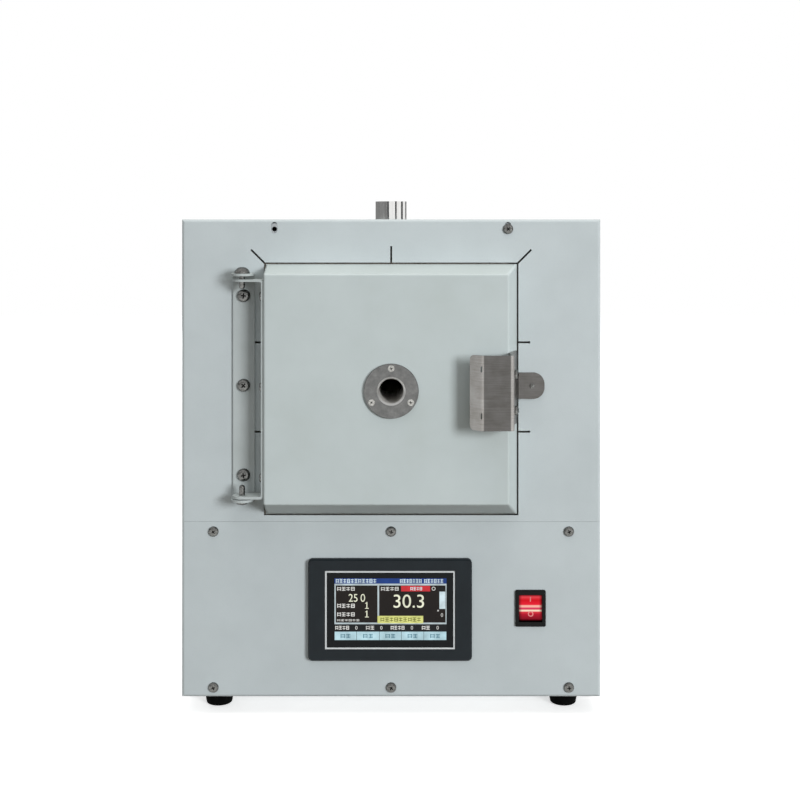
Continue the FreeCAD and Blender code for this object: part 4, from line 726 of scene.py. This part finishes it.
def screenFrame(x0, x1, z0, z1, width, colour, layer=1):
    return [screenPatch(x0, x1, z1 - width, z1, colour, layer),
            screenPatch(x0, x1, z0, z0 + width, colour, layer),
            screenPatch(x0, x0 + width, z0 + width, z1 - width, colour, layer),
            screenPatch(x1 - width, x1, z0 + width, z1 - width, colour, layer)]


signStroke = {"thickness": 0.17, "margin": 0.10, "threeRows": (0.0, 0.42, 0.83),
              "twoRows": (0.18, 0.72)}    # shares of a sign's height and width


def screenWord(x0, x1, z0, z1, colour, count, layer=3):
    # a row of signs, each of a few plain strokes that spell nothing
    step = (x1 - x0) / count
    high = z1 - z0
    thin = high * signStroke["thickness"]
    strokes = []
    for i in range(count):
        left = x0 + step * (i + signStroke["margin"])
        right = x0 + step * (i + 1 - signStroke["margin"])
        centre = (left + right) / 2
        for row in signStroke["threeRows"] if i % 2 else signStroke["twoRows"]:
            strokes.append(screenPatch(left, right, z0 + high * row, z0 + high * row + thin,
                                       colour, layer))
        posts = (centre,) if i % 3 else (left + thin / 2, right - thin / 2)
        for post in posts:
            strokes.append(screenPatch(post - thin / 2, post + thin / 2, z0, z1, colour, layer))
    return strokes


def screenNumber(text, x0, z0, height, colour="digits", stretch=1.0, layer=3):
    # generic numerals, scaled to the height given
    clearSelection()
    bpy.ops.object.text_add()
    words = bpy.context.object
    words.data.body = text
    bpy.ops.object.convert(target="MESH")
    number = bpy.context.object
    xs = [v.co.x for v in number.data.vertices]
    ys = [v.co.y for v in number.data.vertices]
    sizeZ = height * mm / (max(ys) - min(ys))
    sizeX = sizeZ * stretch
    for vertex in number.data.vertices:
        x = screenMiddle.x + x0 * mm + (vertex.co.x - min(xs)) * sizeX
        z = screenMiddle.z + z0 * mm + (vertex.co.y - min(ys)) * sizeZ
        vertex.co = Vector((x, layerY(layer), z))
    giveMaterial(number, pixels[colour])
    return number


def screenRing(x, z, radius, width, colour, layer=3):
    clearSelection()
    bpy.ops.mesh.primitive_circle_add(vertices=28, radius=radius * mm, fill_type="NGON",
                                      location=(0, 0, 0))
    ring = bpy.context.object
    bpy.ops.object.mode_set(mode="EDIT")
    bpy.ops.mesh.select_all(action="SELECT")
    bpy.ops.mesh.inset(thickness=width * mm)
    bpy.ops.mesh.delete(type="FACE")
    bpy.ops.object.mode_set(mode="OBJECT")
    place = (screenMiddle.x + x * mm, layerY(layer), screenMiddle.z + z * mm)
    ring.data.transform(Matrix.Translation(place) @ Matrix.Rotation(math.radians(90), 4, "X"))
    giveMaterial(ring, pixels[colour])
    return ring


def bar(low, high, colour):
    # a field over the display's whole width
    return screenPatch(display["left"], display["right"], low, high, colour)


def printedFrame():
    wide, tall = display["printHalfWidth"], display["printHalfHeight"]
    return screenFrame(-wide, wide, -tall, tall, display["printWidth"], "print")


def headerBar():
    words = [screenWord(start, end, 23.0, top, "pale", count)
             for start, end, top, count in ((-46.2, -11.4, 26.4, 11), (8.2, 27.0, 26.3, 7),
                                            (28.6, 45.2, 26.3, 6))]
    return [bar(display["headerEdge"], display["top"], "header")] + sum(words, [])


def paneBacks():
    return [bar(display["statusTop"], display["headerEdge"], "line")] + [
        screenPatch(start, end, display["paneBottom"], display["paneTop"], "pane", 2)
        for start, end in ((-45.9, -10.6), (-9.2, 47.0))]


def leftPane():
    shapes = []
    for end, low, high, count in ((-29.5, 16.5, 19.6, 4), (-29.5, 2.0, 5.4, 4),
                                  (-29.5, -5.2, -1.9, 4), (-25.6, -9.4, -7.7, 6)):
        shapes += screenWord(-45.1, end, low, high, "label", count)
    shapes.append(screenNumber("25", -35.0, 7.1, 6.6, stretch=0.88))
    shapes.append(screenNumber("0", -24.9, 7.1, 6.6, stretch=0.92))
    for rise in (1.2, -6.1):    # each 1 has a foot and a flag
        shapes.append(screenNumber("1", -20.0, rise, 5.7))
        shapes.append(screenPatch(-21.2, -18.0, rise, rise + 0.6, "digits", 3))
        shapes.append(screenPatch(-20.9, -20.0, rise + 4.4, rise + 5.0, "digits", 3))
    return shapes


def rightPane():
    shapes = screenWord(-8.0, 7.6, 16.5, 19.6, "label", 4)
    shapes.append(screenPatch(9.4, 34.0, 15.9, 20.6, "alarm", 3))
    shapes += screenWord(17.0, 27.4, 16.8, 19.6, "pale", 4, 4)
    shapes.append(screenRing(36.9, 18.2, 1.6, 0.5, "label"))
    shapes.append(screenPatch(40.3, 45.6, 16.6, 19.2, "status", 3))
    shapes.append(screenPatch(41.8, 46.8, 1.1, 15.7, "pale", 3))    # the level bar
    shapes.append(screenNumber("30.3", 3.0, 2.0, 11.2, stretch=1.02))
    shapes.append(screenNumber("0", 43.0, -5.6, 3.0, "label"))
    shapes.append(screenRing(40.7, -0.4, 0.7, 0.4, "label"))
    shapes.append(screenPatch(-10.6, 28.1, -11.1, -4.8, "hint", 3))
    return shapes + screenWord(-8.4, 26.4, -9.6, -6.2, "hintText", 9, 4)


def statusBar():
    shapes = [bar(display["statusBottom"], display["statusTop"], "status")]
    for start, end, zero, count in ((-46.6, -34.4, -29.4, 4), (-20.7, -13.1, -8.3, 2),
                                    (0.3, 12.5, 17.6, 4), (26.6, 34.0, 39.4, 2)):
        shapes += screenWord(start, end, -16.5, -13.3, "label", count)
        shapes.append(screenNumber("0", zero, -16.4, 3.0, "label"))
    return shapes


def buttonRow():
    edges = (display["left"], -28.3, -9.0, 9.6, 28.6, display["right"])
    gap, halfWord = 0.15, 4.6
    shapes = []
    for left, right in zip(edges, edges[1:]):
        middle = (left + right) / 2
        shapes.append(screenPatch(left + gap, right - gap, display["bottom"],
                                  display["buttonTop"], "button"))
        shapes += screenWord(middle - halfWord, middle + halfWord, -23.6, -20.2,
                             "buttonText", 2)
    return shapes


shown = (printedFrame() + headerBar() + paneBacks() + leftPane() + rightPane() + statusBar()
         + buttonRow())
picture = joinAll("displayPicture", shown)
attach(picture, "cabinet")
print("display drawn")


# marks moulded into the rocker: a stroke on the upper half, a ring on the lower

rockerMarks = {"strokeWidth": 0.9, "strokeHeight": 4.2, "strokeRise": 7.4, "strokeDepth": 0.3,
               "edge": 0.12, "ringRadius": 1.9, "ringWidth": 0.9, "ringRise": -4.6,
               "ringFlat": 0.4, "lift": 0.12}
markPaint = litPixels("paleRockerMarks", "#FF9A98", 0.9)
rockerLow, rockerMiddle = boxOf("switch_rocker")[::2]


def settleOnRocker(mark, rise):
    # laid on the rocker's face, which a ray from the front finds beside its middle
    start = Vector((rockerMiddle.x + 0.3 * mm, rockerLow.y - 20 * mm, rockerMiddle.z + rise * mm))
    place, normal = cadNodes["switch_rocker"].ray_cast(start, backward)[1:3]
    turn = upward.rotation_difference(normal).to_matrix().to_4x4()
    place.x = rockerMiddle.x
    mark.data.transform(Matrix.Translation(place + normal * rockerMarks["lift"] * mm) @ turn)
    giveMaterial(mark, markPaint)
    return mark


clearSelection()
bpy.ops.mesh.primitive_cube_add(size=1, scale=(rockerMarks["strokeWidth"] * mm,
                                rockerMarks["strokeHeight"] * mm,
                                rockerMarks["strokeDepth"] * mm))
strokeMark = bpy.context.object
applyPlace(strokeMark)
applyModifier(strokeMark, "BEVEL", width=rockerMarks["edge"] * mm, segments=3)
strokeMark = settleOnRocker(strokeMark, rockerMarks["strokeRise"])
clearSelection()
bpy.ops.mesh.primitive_torus_add(major_radius=rockerMarks["ringRadius"] * mm,
                                 minor_radius=rockerMarks["ringWidth"] / 2 * mm,
                                 major_segments=40, minor_segments=10)
ringMark = bpy.context.object
bpy.ops.object.mode_set(mode="EDIT")
bpy.ops.mesh.select_all(action="SELECT")
bpy.ops.transform.resize(value=(1, 1, rockerMarks["ringFlat"]))
bpy.ops.object.mode_set(mode="OBJECT")
ringMark = settleOnRocker(ringMark, rockerMarks["ringRise"])
marks = joinAll("rockerMarks", [strokeMark, ringMark])
smoothBy(marks, 40)
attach(marks, "rocker")
print("rocker marked")


# rope seal on the back of the door

ropeSeal = {"width": 8.0, "thickness": 4.5, "cornerRadius": 14.0}


def sealRope():
    low, high, middle = boxOf("door_seal")
    half = ropeSeal["width"] / 2 * mm
    clearSelection()
    bpy.ops.mesh.primitive_plane_add(size=1, location=(middle.x, middle.y, middle.z),
                                     rotation=(math.radians(90), 0, 0))
    loop = bpy.context.object
    loop.scale = (high.x - low.x - 2 * half, high.z - low.z - 2 * half, 1)
    applyPlace(loop)
    bpy.ops.object.mode_set(mode="EDIT")
    bpy.ops.mesh.select_all(action="SELECT")
    bpy.ops.mesh.bevel(offset=ropeSeal["cornerRadius"] * mm, segments=10, affect="VERTICES")
    bpy.ops.mesh.delete(type="ONLY_FACE")
    bpy.ops.object.mode_set(mode="OBJECT")
    activate(loop)
    bpy.ops.object.convert(target="CURVE")
    rope = bpy.context.object
    rope.data.bevel_depth = half
    rope.data.bevel_resolution = 5
    bpy.ops.object.convert(target="MESH")
    rope = bpy.context.object
    flat = ropeSeal["thickness"] / ropeSeal["width"]
    for vertex in rope.data.vertices:
        vertex.co.y = middle.y + (vertex.co.y - middle.y) * flat
    rope.name = "doorRopeSeal"
    smoothBy(rope, 60)
    giveMaterial(rope, fibreRope())
    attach(rope, "door")
    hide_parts("door_seal")


sealRope()
print("rope seal laid")


# blades of the mains inlet, nickel plated, fitted over the moulded cores

inletBlades = {"width": 2.0, "height": 4.0, "length": 12.4, "grow": 0.08, "edge": 0.4,
               "spacing": 7.0, "rise": 2.0, "socketDepth": 17.0}


def bladesOfInlet():
    high, middle = boxOf("mains_inlet")[1:]
    floor = high.y - inletBlades["socketDepth"] * mm
    size = ((inletBlades["width"] + inletBlades["grow"]) * mm, inletBlades["length"] * mm,
            (inletBlades["height"] + inletBlades["grow"]) * mm)
    blades = []
    for step, rise in ((-1, -1), (0, 1), (1, -1)):
        place = (middle.x + step * inletBlades["spacing"] * mm,
                 floor + inletBlades["length"] / 2 * mm,
                 middle.z + rise * inletBlades["rise"] * mm)
        clearSelection()
        bpy.ops.mesh.primitive_cube_add(size=1, location=place, scale=size)
        blade = bpy.context.object
        applyPlace(blade)
        applyModifier(blade, "BEVEL", width=inletBlades["edge"] * mm, segments=3)
        blades.append(blade)
    piece = joinAll("inletBlades", blades)
    smoothBy(piece, 40)
    giveMaterial(piece, nickel)
    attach(piece, "cabinet")


bladesOfInlet()
print("inlet blades fitted")


# floor, light and camera

# metres and watts, but the floor's drop in millimetres and the card's step in degrees
studio = {"floorSize": 9.0, "floorDrop": 0.3, "floorGlow": 0.56, "sky": 0.57,
          "key": 194.0, "top": 13.0, "back": 54.0, "shine": 8.0,
          "cardRadius": 1.6, "cardLow": 0.36, "cardHigh": 0.66, "cardStep": 6}
view = {"sensor": 36.0, "lens": 55.6, "shiftX": 0.011, "shiftY": -0.217, "away": 1.05,
        "height": 0.415, "farthest": 50.0}


def isSeen(tree):
    # 1 for camera, glossy and transmission rays
    path = addNode(tree, "ShaderNodeLightPath").outputs
    first = mathOf(tree, "MAXIMUM", path["Is Camera Ray"], path["Is Glossy Ray"])
    return mathOf(tree, "MAXIMUM", first, path["Is Transmission Ray"])


def makeFloor():
    clearSelection()
    bpy.ops.mesh.primitive_plane_add(size=studio["floorSize"],
                                     location=(0, 0, -studio["floorDrop"] * mm))
    floor = bpy.context.object
    floor.name = "studioFloor"
    material, tree, shader = startMaterial("paleStudioFloor", Roughness=0.95)[:3]
    shader.inputs["Specular IOR Level"].default_value = 0.0
    seen = isSeen(tree)
    tint = addNode(tree, "ShaderNodeMix", {0: seen}, data_type="RGBA")
    tint.inputs[6].default_value = linear("#463821")    # what the floor casts on the object
    tint.inputs[7].default_value = linear("#F4F4F2")    # what the camera and metals see
    tree.links.new(tint.outputs[2], shader.inputs["Base Color"])
    shader.inputs["Emission Color"].default_value = (1, 1, 1, 1)
    tree.links.new(mathOf(tree, "MULTIPLY", seen, studio["floorGlow"]),
                   shader.inputs["Emission Strength"])
    giveMaterial(floor, material)


def makeWorld():
    world = bpy.data.worlds.new("studioWorld")
    bpy.context.scene.world = world
    world.use_nodes = True
    tree = world.node_tree
    tree.nodes.clear()
    sky = addNode(tree, "ShaderNodeBackground", {"Color": linear("#F1F5F8"),
                                                 "Strength": studio["sky"]})
    seen = addNode(tree, "ShaderNodeBackground", {"Color": (1, 1, 1, 1), "Strength": 1.0})
    mixed = addNode(tree, "ShaderNodeMixShader", {0: isSeen(tree)})
    tree.links.new(sky.outputs[0], mixed.inputs[1])
    tree.links.new(seen.outputs[0], mixed.inputs[2])
    output = addNode(tree, "ShaderNodeOutputWorld")
    tree.links.new(mixed.outputs[0], output.inputs["Surface"])


def addCard(name, firstAngle, lastAngle, tone):
    # a curved grey wall that only shines in glossy surfaces; angles run from the front to the right
    clearSelection()
    steps = max(2, int(abs(lastAngle - firstAngle) / studio["cardStep"]) + 1)
    bpy.ops.mesh.primitive_grid_add(x_subdivisions=steps, y_subdivisions=1, size=1)
    card = bpy.context.object
    radius, low, high = studio["cardRadius"], studio["cardLow"], studio["cardHigh"]
    for vertex in card.data.vertices:
        share = vertex.co.x + 0.5
        angle = math.radians(firstAngle + (lastAngle - firstAngle) * share)
        rise = low + (high - low) * (vertex.co.y + 0.5)
        vertex.co = Vector((radius * math.sin(angle), -radius * math.cos(angle), rise))
    card.name = name
    material, tree, shader = startMaterial(name, Roughness=1.0)[:3]
    shader.inputs["Base Color"].default_value = (0, 0, 0, 1)
    shader.inputs["Specular IOR Level"].default_value = 0.0
    shader.inputs["Emission Color"].default_value = linear(tone)
    shader.inputs["Emission Strength"].default_value = 1.0
    giveMaterial(card, material)
    for ray in ("camera", "diffuse", "transmission", "volume_scatter", "shadow"):
        setattr(card, "visible_" + ray, False)


def addLamp(name, place, target, size, power, colour, shineOnly=False):
    lamp = bpy.data.lights.new(name, "AREA")
    lamp.shape = "SQUARE"
    lamp.size = size
    lamp.energy = power
    lamp.color = linear(colour)[:3]
    holder = bpy.data.objects.new(name, lamp)
    bpy.context.collection.objects.link(holder)
    holder.location = place
    holder.rotation_euler = (Vector(target) - Vector(place)).to_track_quat("-Z", "Y").to_euler()
    holder.visible_glossy = shineOnly
    holder.visible_diffuse = not shineOnly


def makeCamera():
    camera = bpy.data.cameras.new("frontCamera")
    camera.sensor_width = view["sensor"]
    camera.lens = view["lens"]
    camera.shift_x = view["shiftX"]
    camera.shift_y = view["shiftY"]
    camera.clip_end = view["farthest"]
    holder = bpy.data.objects.new("frontCamera", camera)
    bpy.context.collection.objects.link(holder)
    holder.location = (0.0, frontY - view["away"], view["height"])
    holder.rotation_euler = (math.radians(90), 0, 0)
    bpy.context.scene.camera = holder


makeFloor()
makeWorld()
addLamp("keyLamp", (2.95, -4.0, 1.15), (0, frontY, 0.25), 1.5, studio["key"], "#FAFCFF")
addLamp("topLamp", (0.1, -0.30, 1.9), (0, frontY, 0.4), 1.2, studio["top"], "#FFF8EE")
addLamp("backLamp", (-1.9, 3.3, 0.55), (0, 0.2, 0.25), 1.5, studio["back"], "#FCFCFF")
addLamp("shineLamp", (1.9, -2.5, 1.25), (0, frontY, 0.3), 1.0, studio["shine"], "#FFFFFF", True)
addCard("leftSpoutCard", -180, -30, "#848484")
for number, (angle, width) in enumerate(((-23, 13), (35, 13), (88, 18), (140, 22))):
    addCard("spoutStrip" + str(number), angle - width / 2, angle + width / 2, "#3A3A3C")
makeCamera()
bpy.context.scene.view_settings.view_transform = "Standard"

print("scene ready")
